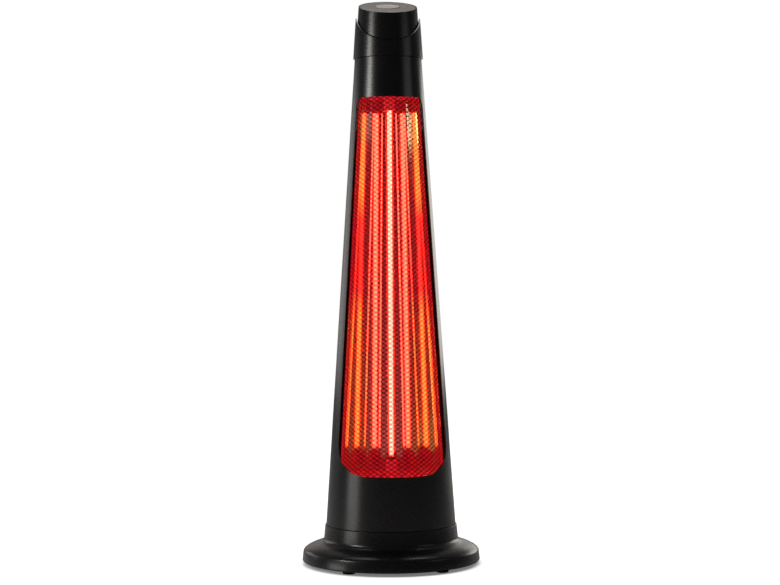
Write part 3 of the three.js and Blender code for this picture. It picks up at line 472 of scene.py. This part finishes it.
def glow_finish():
    """Hot filament: brightness runs unevenly along its winding, and is higher in its reflections."""
    material, tree, shader = new_material("glowing_filament")
    winding = noise(tree, 300, detail=1.0, stretch=(1, 1, 2))
    shader.inputs["Base Color"].default_value = (0.2, 0.08, 0.04, 1)
    shader.inputs["Roughness"].default_value = 0.8
    shader.inputs["Emission Color"].default_value = (*GLOW_COLOUR, 1)
    hot = band(tree, axis_of(tree, "Z"), HOT_LOW, HOT_HIGH, HOT_FADE)
    lit = product(tree, hot, ranged(tree, winding, GLOW_LOW, GLOW_HIGH))
    seen = tree.nodes.new("ShaderNodeLightPath").outputs["Is Camera Ray"]
    boost = ranged(tree, seen, GLOW_BOOST, 1, start=0, end=1)
    tree.links.new(product(tree, lit, boost), shader.inputs["Emission Strength"])
    return material


def quartz_finish():
    """Clear tube: mostly see-through, with soft reflections at its sides."""
    material, tree, shader = new_material("clear_quartz")
    haze = noise(tree, 60)
    shader.inputs["Base Color"].default_value = (0.9, 0.3, 0.15, 1)
    tree.links.new(ranged(tree, haze, 0.05, 0.12), shader.inputs["Roughness"])
    edge = tree.nodes.new("ShaderNodeLayerWeight")
    edge.inputs["Blend"].default_value = 0.25
    tree.links.new(ranged(tree, edge.outputs["Facing"], 0.05, 0.5, start=0.2, end=1), shader.inputs["Alpha"])
    return material


BLACK = finish_of("satin_black", (0.006, 0.006, 0.0072), 0.27, specular=0.5, mottle=0.1, wear=0.12)
PANEL = finish_of("brown_grey_inlay", (0.055, 0.044, 0.033), 0.3, specular=0.5, mottle=0.06, bump=0.03)
BUTTON = finish_of("satin_grey", (0.37, 0.33, 0.31), 0.45, mottle=0.04, bump=0.04, wear=0.5)
INNER = finish_of("moulded_inner", (0.02, 0.02, 0.022), 0.55)
WHITE = finish_of("engineering_white", (0.72, 0.7, 0.64), 0.5, mottle=0.05, bump=0.05)
RUBBER = finish_of("black_rubber", (0.009, 0.009, 0.009), 0.75, specular=0.3, bump=0.15, grain=1500)
IRON = finish_of("painted_cast_iron", (0.045, 0.045, 0.048), 0.6, bump=0.35, grain=420)
ZINC = finish_of("zinc_steel", (0.5, 0.51, 0.52), 0.38, metallic=1, mottle=0.18, grain=300,
                 stretch=(1, 1, 0.2))
GUARD = finish_of("coated_mesh", (0.03, 0.006, 0.006), 0.45, specular=0.15, mottle=0.2, wear=0.0)
REFLECTOR = mirror_finish("polished_reflector", middle=(0.3, 0.26, 0.2), side=(0.24, 0.27, 0.045),
                          roughness=0.08, waves=0.03)
# the end plates share the sheet's painted red glow
MIRROR = mirror_finish("polished_end_plate", middle=(0.2, 0.1, 0.09), side=(0.2, 0.1, 0.09),
                       roughness=0.14, waves=0.5)
GLOW = glow_finish()
QUARTZ = quartz_finish()
CERAMIC = finish_of("ceramic_with_painted_glow", (0.25, 0.05, 0.04), 0.8, specular=0.2, mottle=0.1, bump=0.2, grain=700)
# painted red glow on the lamp ends, standing in for the lamp's light on them
painted_red_glow(shader_of(CERAMIC), 0.6)
BOARD = finish_of("green_board", (0.03, 0.1, 0.045), 0.4, mottle=0.15)


# Base

def base_profile():
    """Outline of the flared disc with its collar: outside upwards, then inside down."""
    z0 = BASE_LOW.z
    radius = BASE_HIGH.x
    seam = BASE_HIGH.z
    collar = TOWER_FOOT_RADIUS + COLLAR_MARGIN
    foot = collar + COLLAR_FLARE
    crease = (radius - CREASE_INSET, z0 + CREASE_HEIGHT)
    shoulder = (radius - SHOULDER_INSET, z0 + SHOULDER_HEIGHT)
    fillet_top = (foot, seam - COLLAR_DROP)
    flare_control = (crease[0] - 2 * MM, shoulder[1] - 5 * MM)
    fillet_control = (foot + 1 * MM, shoulder[1] + 3 * MM)
    outside = [(radius - RIM_CHAMFER, z0), (radius, z0 + RIM_CHAMFER), crease]
    outside += curve(crease, flare_control, shoulder, 14)
    outside += curve(shoulder, fillet_control, fillet_top, 12)
    outside.append((collar, seam))
    wall, rim = BASE_WALL, radius - RIM_WALL
    deck = seam - DECK_DROP
    inside = [(collar - wall, seam), (collar - wall, deck), (HUB_RADIUS, deck), (HUB_RADIUS, deck - wall),
              (foot - wall - 1 * MM, deck - wall), (foot - wall, fillet_top[1] - wall),
              (shoulder[0], shoulder[1] - wall), (rim, crease[1] - wall), (rim, z0)]
    return outside + inside


def cut_block(piece, low, high):
    """Takes the block between two corners out of a piece."""
    mesh = bpy.data.meshes.new("cutter")
    shape = bmesh.new()
    bmesh.ops.create_cube(shape, size=1)
    for corner in shape.verts:
        corner.co = Vector(((low[k] + high[k]) / 2 + corner.co[k] * (high[k] - low[k])) for k in range(3))
    shape.to_mesh(mesh)
    shape.free()
    cutter = placed("cutter", mesh)
    cut = piece.modifiers.new("notch", "BOOLEAN")
    cut.object = cutter
    cut.operation = "DIFFERENCE"
    cut.solver = "EXACT"
    bpy.context.view_layer.update()
    solved = piece.evaluated_get(bpy.context.evaluated_depsgraph_get())
    result = bpy.data.meshes.new_from_object(solved)
    piece.modifiers.clear()
    old = piece.data
    piece.data = result
    bpy.data.meshes.remove(old)
    bpy.data.objects.remove(cutter)
    bpy.data.meshes.remove(mesh)


def base_shell():
    """Flared disc with its collar, notched at the rear for the cable gland."""
    points, faces = turned(base_profile())
    piece = mesh_piece("base_shell_dressed", points, faces, BLACK, "base", ["base_shell"])
    room = JOINT_GAP
    notch_low = (GLAND_LOW.x - room, GLAND_LOW.y - 6 * room, -1)
    notch_high = (GLAND_HIGH.x + room, 1, GLAND_HIGH.z + room)
    cut_block(piece, notch_low, notch_high)
    smooth(piece.data, 35)
    round_edges(piece, 0.4 * MM, 3, 20)


def feet():
    """Rubber feet, whose stems go through the bottom plate."""
    for i in range(1, FOOT_COUNT + 1):
        low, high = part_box(f"rubber_foot_{i}")
        x, y = (low.x + high.x) / 2, (low.y + high.y) / 2
        axis, chamfer = 0.001 * MM, 1 * MM
        profile = [(axis, 0), (FOOT_RADIUS - chamfer, 0), (FOOT_RADIUS, chamfer), (FOOT_RADIUS, FOOT_PLATE),
                   (FOOT_STEM, FOOT_PLATE), (FOOT_STEM, high.z), (axis, high.z)]
        points, faces = turned(profile, 48, False, lambda px, py, pz: Vector((x + px, y + py, pz)))
        mesh_piece(f"rubber_foot_{i}_dressed", points, faces, RUBBER, "base",
                   [f"rubber_foot_{i}"], 0.3 * MM)


# Tower shells

def window_outline():
    """Rounded window outline in (degrees, height), densely stepped."""
    corners = (
        (WINDOW_HALF, WINDOW_SILL, WINDOW_SILL_CORNER, -90, 1, 1),
        (WINDOW_HALF, WINDOW_LINTEL, WINDOW_TOP_CORNER, 0, 1, -1),
        (-WINDOW_HALF, WINDOW_LINTEL, WINDOW_TOP_CORNER, 90, -1, -1),
        (-WINDOW_HALF, WINDOW_SILL, WINDOW_SILL_CORNER, 180, -1, 1),
    )
    outline = []
    for angle, z, (round_angle, round_z), start, side, rise in corners:
        centre = (angle - side * round_angle, z + rise * round_z)
        for degrees in steps_between(start, start + 90, 24):
            turn = math.radians(degrees)
            outline.append((centre[0] + round_angle * math.cos(turn), centre[1] + round_z * math.sin(turn)))
    return outline


def crossing(outline, origin, target):
    """Where the ray from origin to target meets a closed outline."""
    dx, dz = target[0] - origin[0], target[1] - origin[1]
    for (ax, az), (bx, bz) in zip(outline, outline[1:] + outline[:1]):
        ex, ez = bx - ax, bz - az
        bottom = dx * ez - dz * ex
        if abs(bottom) < 1e-12:
            continue
        along = ((ax - origin[0]) * ez - (az - origin[1]) * ex) / bottom
        share = ((ax - origin[0]) * dz - (az - origin[1]) * dx) / bottom
        if along > 0 and -1e-9 <= share <= 1 + 1e-9:
            return origin[0] + along * dx, origin[1] + along * dz
    raise ValueError("the ray misses the outline")


def front_shell():
    """Tapered wall round the window: rings from the window's edge out to the joint."""
    outline = window_outline()
    edge = REAR_JOINT
    across, up = 84, 96  # steps along the border
    border = [(-edge + 2 * edge * i / across, TOWER_LOW) for i in range(across)]
    border += [(edge, TOWER_LOW + (TOWER_TOP - TOWER_LOW) * i / up) for i in range(up)]
    border += [(edge - 2 * edge * i / across, TOWER_TOP) for i in range(across)]
    border += [(-edge, TOWER_TOP - (TOWER_TOP - TOWER_LOW) * i / up) for i in range(up)]
    middle = (0, (WINDOW_SILL + WINDOW_LINTEL) / 2)
    hole = [crossing(outline, middle, target) for target in border]
    levels = [0, 0.02, 0.06, 0.14, 0.26, 0.4, 0.55, 0.7, 0.85, 1]  # closer near the window

    def ring(share, depth):
        points = []
        for (a, z), (b, y) in zip(hole, border):
            angle, height = a + share * (b - a), z + share * (y - z)
            points.append(around(angle, tower_line(height) - depth, height))
        return points

    inner = [ring(share, TOWER_WALL) for share in levels[:1:-1]] + [ring(0, WINDOW_LIP)]
    rings = [ring(share, 0) for share in levels] + inner
    points, faces = skin(rings, True)
    mesh_piece("front_shell_dressed", points, faces, BLACK, "tower",
               ["front_shell"], 0.7 * MM)


def vent_slots():
    """(middle degrees, height) of each vent slot in the rear cover."""
    side = (VENT_SPAN + VENT_BRIDGE) / 2
    slots = []
    for row in range(VENT_ROWS):
        rise = row * VENT_PITCH
        for z in (TOWER_LOW + VENT_RISE + rise, TOWER_TOP - VENT_DROP - rise):
            slots += [(180 - side, z), (180 + side, z)]
    return slots


def rear_cover():
    """Grid of cells round the back with the vent cells left out."""
    half_angle, half_height = VENT_SPAN / 2, VENT_HEIGHT / 2
    gap = math.degrees(JOINT_GAP / TOWER_FOOT_RADIUS)
    start, end = REAR_JOINT + gap, 360 - REAR_JOINT - gap
    slots = vent_slots()
    columns = {start, end}
    rows = {TOWER_LOW, TOWER_TOP}
    for angle, z in slots:
        columns |= {angle - half_angle, angle + half_angle}
        rows |= {z - half_height, z + half_height}
    columns = stepped(sorted(columns), longest=3)
    rows = stepped(sorted(rows), longest=30 * MM)

    def is_vent(a, z):
        return any(abs(a - angle) < half_angle and abs(z - height) < half_height for angle, height in slots)

    count = len(columns)
    points = []
    for depth in (0, TOWER_WALL):
        points += [around(a, tower_line(z) - depth, z) for z in rows for a in columns]
    cells = [(i, j) for j in range(len(rows) - 1) for i in range(count - 1)
             if not is_vent((columns[i] + columns[i + 1]) / 2, (rows[j] + rows[j + 1]) / 2)]
    faces = thick_cells(cells, count, len(points) // 2)
    mesh_piece("rear_cover_dressed", points, faces, BLACK, "tower",
               ["rear_cover"], 0.5 * MM)


def stepped(stops, longest):
    """The stops, with even steps between them where they are far apart."""
    values = [stops[0]]
    for a, b in zip(stops, stops[1:]):
        steps = max(1, math.ceil((b - a) / longest - 1e-9))
        values += steps_between(a, b, steps)[1:]
    return values


def thick_cells(cells, count, layer):
    """Faces of grid cells on two layers of points, with walls where a cell has no neighbour."""
    taken = set(cells)
    faces = []
    for i, j in cells:
        a, b = j * count + i, j * count + i + 1
        c, d = b + count, a + count
        faces += [(a, b, c, d), (d + layer, c + layer, b + layer, a + layer)]
        walls = {(i, j - 1): (b, a), (i + 1, j): (c, b), (i, j + 1): (d, c), (i - 1, j): (a, d)}
        bare = [wall for next_cell, wall in walls.items() if next_cell not in taken]
        faces += [(p, q, q + layer, p + layer) for p, q in bare]
    return faces


# Head

def cap_radius(z):
    return tower_line(z) - CAP_INSET


def sleeve():
    """Thin ring that stands off the cap, scooped in front and behind to a tip at each side."""
    foot = SLEEVE_LOW.z
    ledge = foot + SLEEVE_LEDGE
    top = SLEEVE_HIGH.z
    ledge_inner = cap_radius(TOWER_TOP + LEDGE_BORE_LEVEL) - CAP_WALL + JOINT_GAP
    scoop_z = foot + SCOOP_LOW
    scoop_y = -(tower_line(scoop_z) + SLEEVE_STANDOFF)

    def outer(z):
        return tower_line(z) + SLEEVE_STANDOFF

    def edge_height(cosine, inset):
        """Height at which the wall meets the scoop's plane, found in a few rounds."""
        z = top
        for _ in range(12):
            y = -abs((outer(z) - inset) * cosine)
            z = min(top, scoop_z + math.tan(SCOOP_TILT) * (y - scoop_y))
        return z

    levels = 10
    columns = []
    for angle in TURN_ANGLES:
        cosine = math.cos(math.radians(angle))
        high_out = edge_height(cosine, 0)
        high_in = edge_height(cosine, SLEEVE_WALL)
        column = [(ledge_inner, foot)]
        column += [(outer(z), z) for z in steps_between(foot, high_out, levels)]
        column += [(outer(z) - SLEEVE_WALL, z) for z in steps_between(high_in, ledge, levels)]
        column.append((ledge_inner, ledge))
        columns.append([around(angle, radius, z) for radius, z in column])
    points, faces = skin_columns(columns)
    mesh_piece("sleeve_dressed", points, faces, BLACK, "tower", ["sleeve"], 0.35 * MM)


def slant_point(angle, inset, level):
    """Point at an azimuth on the head's taper, inset from it, at a level of the slanted top.

    Radius and height depend on each other, so they are found in a few rounds.
    """
    turn = math.radians(angle)
    slope = math.tan(TOP_TILT)
    z = TOP_CENTRE_Z
    for _ in range(20):
        radius = cap_radius(z) - inset
        z = TOP_CENTRE_Z + level / math.cos(TOP_TILT) - slope * radius * math.cos(turn)
    return around(angle, radius, z)


def well_point(angle, radius, level):
    """Point on a circle round the button, at a level of the slanted top."""
    turn = math.radians(angle)
    return on_top(radius * math.sin(turn), -radius * math.cos(turn), level)


def head_cap():
    """Cup with a slanted roof, a recess for the panel and a well for the button."""
    floor = -PANEL_RECESS - PANEL_THICKNESS - PANEL_GAP
    roof = floor - CAP_WALL
    mouth = BUTTON_RADIUS + BUTTON_FLANGE + BUTTON_GAP
    foot = CAP_LOW.z
    columns = []
    for angle in TURN_ANGLES:
        top = slant_point(angle, 0, 0)
        under = slant_point(angle, CAP_WALL, roof)
        column = [around(angle, cap_radius(z), z) for z in steps_between(foot, top.z, 6)]
        column += [slant_point(angle, PANEL_RIM, 0), slant_point(angle, PANEL_RIM, floor),
                   well_point(angle, mouth, floor), well_point(angle, mouth, roof)]
        column += [around(angle, cap_radius(z) - CAP_WALL, z) for z in steps_between(under.z, foot, 6)]
        columns.append(column)
    posts = [post(turn, roof + POST_OVERLAP) for turn in turns(3)]
    points, faces = join_parts(skin_columns(columns), *posts)
    mesh_piece("head_cap_dressed", points, faces, BLACK, "tower",
               ["head_cap"], 0.4 * MM)


def post(turn, top):
    """Post under the roof, down to the control board."""
    middle_x, middle_y = POST_CIRCLE * math.sin(turn), -POST_CIRCLE * math.cos(turn)
    profile = [(POST_RADIUS, POST_FOOT), (POST_RADIUS, top)]
    return turned(profile, 24, False, lambda x, y, z: on_top(middle_x + x, middle_y + y, z))


def top_panel():
    """Inlay of the slanted top, with a hole for the button."""
    high = -PANEL_RECESS
    low = high - PANEL_THICKNESS
    inset = PANEL_RIM + PANEL_GAP
    hole = BUTTON_RADIUS + BUTTON_GAP
    columns = [[slant_point(angle, inset, low), slant_point(angle, inset, high),
                well_point(angle, hole, high), well_point(angle, hole, low)] for angle in TURN_ANGLES]
    points, faces = skin_columns(columns)
    mesh_piece("top_panel_dressed", points, faces, PANEL, "tower",
               ["top_panel"], 0.35 * MM)


def push_button():
    """Button with a flange under the panel and a slightly hollow face."""
    flange_top = -PANEL_RECESS - PANEL_THICKNESS - PANEL_GAP
    flange_foot = flange_top - BUTTON_FLANGE
    top = BUTTON_PROUD - PANEL_RECESS
    axis = 0.01 * MM
    dish = [(BUTTON_RADIUS - 1.2 * MM, top), (BUTTON_RADIUS - 2.2 * MM, top - 0.15 * MM),
            (axis, top - 0.3 * MM)]
    profile = [(axis, flange_foot), (BUTTON_RADIUS + BUTTON_FLANGE, flange_foot),
               (BUTTON_RADIUS + BUTTON_FLANGE, flange_top), (BUTTON_RADIUS, flange_top),
               (BUTTON_RADIUS, top - 0.5 * MM), (BUTTON_RADIUS - 0.5 * MM, top), *dish]
    points, faces = turned(profile, 96, False, on_top)
    mesh_piece("push_button_dressed", points, faces, BUTTON, "button",
               ["push_button"], 0.2 * MM, 25)


# Guard, reflector and lamp

def ribbon(start, end, outwards):
    """Thin flat strand between two points, leaned halfway out of the net's surface."""
    along = (end - start).normalized()
    aside = outwards.cross(along)
    if aside.z < 0:
        aside.negate()
    lean = (aside - outwards).normalized()
    flat = along.cross(lean)
    half_width, half_thickness = lean * STRAND_WIDTH / 2, flat * STRAND_THICKNESS / 2
    outline = (half_width + half_thickness, half_width - half_thickness,
               -half_width - half_thickness, half_thickness - half_width)
    return skin([[place + offset for offset in outline] for place in (start, end)], False)


def guard_net():
    """Expanded metal: an even net of diamonds, laid flat and rolled onto the taper."""
    slope = math.atan(TAPER)
    low, high = NET_LOW.z + 1 * MM, NET_HIGH.z - 1 * MM
    low_radius = guard_line(low) - STRAND_DEPTH
    reach = low_radius / math.sin(slope)
    half_width, half_height = DIAMOND_WIDTH / 2, DIAMOND_HEIGHT / 2

    def rolled(m, n):
        """Azimuth, radius and height of a crossing of the flat net."""
        p, q = m * half_width, n * half_height
        distance = math.hypot(p, reach - q)
        azimuth = math.degrees(math.atan2(p, reach - q) / math.sin(slope))
        radius = distance * math.sin(slope)
        return azimuth, radius, low + (low_radius - radius) / TAPER

    def inside(azimuth, z):
        return abs(azimuth) < GUARD_HALF - GUARD_BORDER and low <= z <= high

    columns = int(math.radians(GUARD_HALF) * guard_line(low) / half_width) + 1
    rows = int((high - low) / math.cos(slope) / half_height) + 2
    strands = []
    for n in range(rows):
        for m in range(-columns + n % 2, columns + 1, 2):
            azimuth, radius, z = rolled(m, n)
            for side in (-1, 1):
                end_azimuth, end_radius, end_z = rolled(m + side, n + 1)
                if inside(azimuth, z) and inside(end_azimuth, end_z):
                    start, end = around(azimuth, radius, z), around(end_azimuth, end_radius, end_z)
                    outwards = around((azimuth + end_azimuth) / 2, 1, TAPER).normalized()
                    strands.append(ribbon(start, end, outwards))
    points, faces = join_parts(*strands)
    mesh_piece("guard_net_dressed", points, faces, GUARD, "tower", ["guard_net"], 0, 30)


def facet_folds():
    """Folds of one half at mid height, as (aside, behind) from the lamp.

    A facet shows the lamp where it touches a parabola whose focus is the lamp.
    """
    folds, behind, focal, aim = [], SHEET_DEPTH, SHEET_DEPTH, 0
    for start, next_aim in FACETS + ((FACETS_END, 0),):
        behind = focal - aim * (2 * start - aim) / (4 * focal)
        folds.append((start, behind))
        aim = next_aim
        focal = (behind + math.sqrt(behind ** 2 + aim * (2 * start - aim))) / 2
    return folds


def rounded(line):
    """The line with each inner corner turned into a short curve."""
    smooth_line = [line[0]]
    for before, corner, after in zip(line, line[1:], line[2:]):
        sides = []
        for other in (before, after):
            length = math.hypot(other[0] - corner[0], other[1] - corner[1])
            reach = min(FOLD_REACH, 0.35 * length)
            step = 0.1 * reach
            sides.append([tuple(c + (o - c) * r / length for c, o in zip(corner, other))
                          for r in (reach + step, reach)])
        (far_before, near_before), (far_after, near_after) = sides
        smooth_line += [far_before, near_before] + curve(near_before, corner, near_after, 6) + [far_after]
    return smooth_line + [line[-1]]


def reflector_section(z):
    """Front line of the folded sheet at a height, from its left edge to its right."""
    scale = guard_line(z) / guard_line(SHEET_MIDDLE)
    edge = around(SHEET_EDGE, guard_line(SHEET_MIDDLE) - SHEET_CLEARANCE, z)
    half = facet_folds()
    line = [(-aside, behind) for aside, behind in half[::-1]] + half
    turn_cos, turn_sin = math.cos(FACETS_AZIMUTH), math.sin(FACETS_AZIMUTH)
    folds = [(a * turn_cos - b * turn_sin, a * turn_sin + b * turn_cos + LAMP_Y) for a, b in line]
    return [(x * scale, y * scale) for x, y in rounded([(-edge.x, edge.y)] + folds + [(edge.x, edge.y)])]


def offset_line(line, distance):
    """The line moved to its left by a distance."""
    moved = []
    for i, (x, y) in enumerate(line):
        (ax, ay), (bx, by) = line[max(i - 1, 0)], line[min(i + 1, len(line) - 1)]
        length = math.hypot(bx - ax, by - ay)
        moved.append((x - distance * (by - ay) / length, y + distance * (bx - ax) / length))
    return moved


def reflector():
    """Folded sheet with flat facets and narrow, rounded folds."""
    rings = []
    for z in steps_between(REFLECTOR_LOW.z, REFLECTOR_HIGH.z, SHEET_STEPS):
        line = reflector_section(z)
        back = offset_line(line, SHEET_THICKNESS)
        rings.append([Vector((x, y, z)) for x, y in line + back[::-1]])
    points, faces = skin(rings, False)
    mesh_piece("reflector_dressed", points, faces, REFLECTOR, "tower",
               ["reflector"], 0, 30)


def at_lamp(x, y, z):
    return Vector((x, y + LAMP_Y, z))


def lamp():
    """Quartz tube, ribbed filament and the two lamp ends."""
    low, high = TUBE_LOW.z, TUBE_HIGH.z
    bore = LAMP_RADIUS - TUBE_WALL
    profile = [(bore, low), (LAMP_RADIUS, low), (LAMP_RADIUS, high), (bore, high)]
    points, faces = turned(profile, 64, True, at_lamp)
    mesh_piece("lamp_tube_dressed", points, faces, QUARTZ, "tower", ["lamp_tube"])
    profile = []
    for i, z in enumerate(steps_between(low, high, 2 * FILAMENT_TURNS)):
        profile.append((FILAMENT_RADIUS if i % 2 else FILAMENT_GROOVE, z))
    points, faces = turned(profile, 24, False, at_lamp)
    mesh_piece("lamp_filament_dressed", points, faces, GLOW, "tower", ["lamp_filament"], 0, 60)
    for name in ("lower", "upper"):
        lamp_end(name, *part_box(f"lamp_end_{name}"))


def lamp_end(name, low, high):
    """Ceramic block with a round socket for the tube."""
    back, mouth, floor = low.z, high.z, high.z - SOCKET_DEPTH
    if name == "upper":
        back, mouth, floor = high.z, low.z, low.z + SOCKET_DEPTH
    half = (high.x - low.x) / 2
    steps, shift = 48, 0.5

    def square(z):
        points = []
        for a in turns(steps, shift):
            size = half / max(abs(math.cos(a)), abs(math.sin(a)))
            points.append(at_lamp(size * math.cos(a), size * math.sin(a), z))
        return points

    bore = LAMP_RADIUS + JOINT_GAP
    rings = [square(back), square(mouth)]
    rings += [circle(at_lamp, bore, z, steps, shift) for z in (mouth, floor)]
    points, faces = skin(rings, False)
    mesh_piece(f"lamp_end_{name}_dressed", points, faces, CERAMIC, "tower",
               [f"lamp_end_{name}"], 0.5 * MM)


# Screws

def screw(name, place, outwards, body):
    """Screw sunk into the surface, with a low domed head and a crossed recess."""
    radius, steps = SCREW_RADIUS, 48
    arm, slot = 0.62 * radius, 0.16 * radius
    turn = Vector((0, 0, 1)).rotation_difference(Vector(outwards)).to_matrix()

    def at(x, y, z):
        return turn @ Vector((x, y, z)) + Vector(place)

    def cross(z):
        points = []
        for a in turns(steps):
            c, s = abs(math.cos(a)), abs(math.sin(a))
            size = min(arm / max(c, s), max(slot / max(min(c, s), 1e-3), slot * 1.4))
            points.append(at(size * math.cos(a), size * math.sin(a), z))
        return points

    head = ((0.5 * radius, -1.6 * MM), (radius, -0.3 * MM), (radius, 0.05 * MM), (0.8 * radius, 0.3 * MM))
    rings = [circle(at, size, z, steps) for size, z in head] + [cross(0.3 * MM), cross(-0.9 * MM)]
    points, faces = skin(rings, False)
    mesh_piece(name, points, faces, ZINC, body, (), 0, 30)


def screws():
    """Screws of the base's bottom plate and of the rear cover."""
    for i in range(PLATE_SCREWS):
        place = around(360 * i / PLATE_SCREWS, PLATE_SCREW_CIRCLE, PLATE_LOW.z)
        screw(f"bottom_plate_screw_{i + 1}", place, (0, 0, -1), "base")
    sides = (REAR_SCREW_ANGLE, 360 - REAR_SCREW_ANGLE)
    places = [(angle, z) for z in REAR_SCREW_HEIGHTS for angle in sides]
    for i, (angle, z) in enumerate(places):
        outwards = around(angle, 1, TAPER)
        screw(f"rear_cover_screw_{i + 1}", around(angle, tower_line(z), z), outwards, "tower")


# CAD nodes that keep their own shape

KEPT = {
    ZINC: ("base_bottom_plate", "oscillation_motor", "retaining_ring", "steel_spine", "lamp_bracket_lower",
           "lamp_bracket_upper", "thermal_cutout"),
    IRON: ("ballast_weight",),
    RUBBER: ("cable_gland",),
    INNER: ("tip_over_switch", "turntable", "neck", "button_switch"),
    WHITE: ("terminal_block", "bearing_ring", "drive_pinion", "ring_gear", "switch_plunger"),
    BOARD: ("control_board",),
    MIRROR: ("lower_end_plate", "upper_end_plate"),
}


def dress_kept_nodes():
    for material, names in KEPT.items():
        for name in names:
            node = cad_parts[name]
            if not node.data.materials:
                node.data.materials.append(material)
            for i in range(len(node.data.materials)):
                node.data.materials[i] = material


# Stage

def stage_floor():
    """Pale floor: open floor shows white, the lamps' shadows stay, and a painted contact shadow darkens it
    round the tower's foot.
    """
    reach = FLOOR_REACH
    points = [(-reach, -reach, 0), (reach, -reach, 0), (reach, reach, 0), (-reach, reach, 0)]
    mesh = bpy.data.meshes.new("floor")
    mesh.from_pydata(points, [], [(0, 1, 2, 3)])
    floor = placed("floor", mesh)
    material, tree, shader = new_material("pale_floor")
    grain = noise(tree, 40)
    tree.links.new(mixed(tree, grain, (0.86, 0.86, 0.86), (0.9, 0.9, 0.9)), shader.inputs["Base Color"])
    shader.inputs["Roughness"].default_value = 0.9
    shader.inputs["Specular IOR Level"].default_value = 0.1
    # Painted contact shadow: the white the floor gives off to the eye fades where the tower's foot closes it
    # in.
    openness = tree.nodes.new("ShaderNodeAmbientOcclusion")
    openness.inputs["Distance"].default_value = CONTACT_REACH
    glow = ranged(tree, openness.outputs["AO"], 0.17, 1, start=0.2, end=0.85)
    path = tree.nodes.new("ShaderNodeLightPath")
    shader.inputs["Emission Color"].default_value = (1, 1, 1, 1)
    tree.links.new(product(tree, path.outputs["Is Camera Ray"], glow), shader.inputs["Emission Strength"])
    mesh.materials.append(material)


def world_light():
    """White to the eye; for gloss and light it is dim in front and brighter behind."""
    world = bpy.data.worlds.new("studio")
    bpy.context.scene.world = world
    world.use_nodes = True
    tree = world.node_tree
    background = next(n for n in tree.nodes if n.type == "BACKGROUND")
    output = next(n for n in tree.nodes if n.type == "OUTPUT_WORLD")
    backwards = axis_of(tree, "Y", "Generated")
    level = ranged(tree, backwards, FRONT_LEVEL, BACK_LEVEL, start=-0.2, end=0.6)
    background.inputs["Color"].default_value = (1, 1, 1, 1)
    tree.links.new(level, background.inputs["Strength"])
    plain = tree.nodes.new("ShaderNodeBackground")
    plain.inputs["Color"].default_value = (1, 1, 1, 1)
    path = tree.nodes.new("ShaderNodeLightPath")
    mix = tree.nodes.new("ShaderNodeMixShader")
    tree.links.new(path.outputs["Is Camera Ray"], mix.inputs["Fac"])
    tree.links.new(background.outputs[0], mix.inputs[1])
    tree.links.new(plain.outputs[0], mix.inputs[2])
    tree.links.new(mix.outputs[0], output.inputs["Surface"])


def softbox(name, azimuth, distance, z, width, height, brightness, colour, aim_z=None):
    """Soft lamp at an azimuth from the front, turned to the tower; it is level unless it has an aim."""
    light = bpy.data.lights.new(name, "AREA")
    light.shape = "RECTANGLE"
    light.size = width
    light.size_y = height
    light.energy = brightness * math.pi * width * height
    light.color = colour
    lamp_object = placed(name, light)
    place = around(azimuth, distance, z)
    aim = Vector((0, 0, z if aim_z is None else aim_z)) - place
    lamp_object.rotation_euler = aim.to_track_quat("-Z", "Y").to_euler()
    lamp_object.location = place
    lamp_object.visible_camera = False


def lights():
    """Softboxes before, beside and above the tower, and panels behind it that light its sides."""
    softbox("left_softbox", -68, NEAR_LIGHTS, 0.87, 0.36, 0.48, 16, WARM)
    softbox("left_low_softbox", -75, NEAR_LIGHTS, 0.1, 0.6, 0.2, 4, WARM)
    softbox("right_softbox", 62, NEAR_LIGHTS, 0.89, 0.7, 0.48, 0.85, COOL)
    softbox("right_side_panel", 135, FAR_LIGHTS, 0.62, 0.9, 0.8, 2.9, CREAM)
    softbox("right_back_panel", 154, FAR_LIGHTS, 0.62, 0.6, 0.8, 1.4, CREAM)
    softbox("right_rear_panel", 171, FAR_LIGHTS, 0.585, 0.7, 0.87, 0.75, CREAM)
    softbox("left_back_panel", -134, FAR_LIGHTS, 0.62, 1.6, 0.8, 1, (1, 0.96, 0.93))
    softbox("left_rear_panel", -169, FAR_LIGHTS, 0.585, 0.7, 0.87, 0.42, ROSY)
    softbox("rear_top_softbox", 180, 1.6, 1.7, 1.6, 0.8, 0.2, (1, 0.92, 0.76))
    softbox("head_softbox", 180, 0.35, 1.35, 0.3, 0.3, 4.8, WARM, aim_z=0.82)
    softbox("top_softbox", 180, 0.6, 2.4, 1.8, 1.2, 2.4, (1, 1, 1))


def camera():
    """Camera as fitted to the photo's outline of the tower."""
    data = bpy.data.cameras.new("camera")
    data.sensor_width = SENSOR_WIDTH
    data.lens = FOCAL_PIXELS * SENSOR_WIDTH / PICTURE_WIDTH
    data.clip_end = 50
    view = placed("camera", data)
    place = around(CAMERA_AZIMUTH, CAMERA_DISTANCE, CAMERA_HEIGHT)
    yaw = math.atan2(-place.x, -place.y) + CAMERA_YAW
    forward = Vector((math.sin(yaw) * math.cos(CAMERA_PITCH), math.cos(yaw) * math.cos(CAMERA_PITCH),
                      -math.sin(CAMERA_PITCH)))
    right = forward.cross(Vector((0, 0, 1))).normalized()
    up = right.cross(forward)
    turn = Matrix((right, up, -forward)).transposed() @ Matrix.Rotation(-CAMERA_ROLL, 3, "Z")
    view.matrix_world = Matrix.Translation(place) @ turn.to_4x4()
    bpy.context.scene.camera = view


base_shell()
feet()
front_shell()
rear_cover()
sleeve()
head_cap()
top_panel()
push_button()
guard_net()
reflector()
lamp()
screws()
dress_kept_nodes()
stage_floor()
world_light()
lights()
camera()

bpy.context.scene.view_settings.view_transform = "Standard"
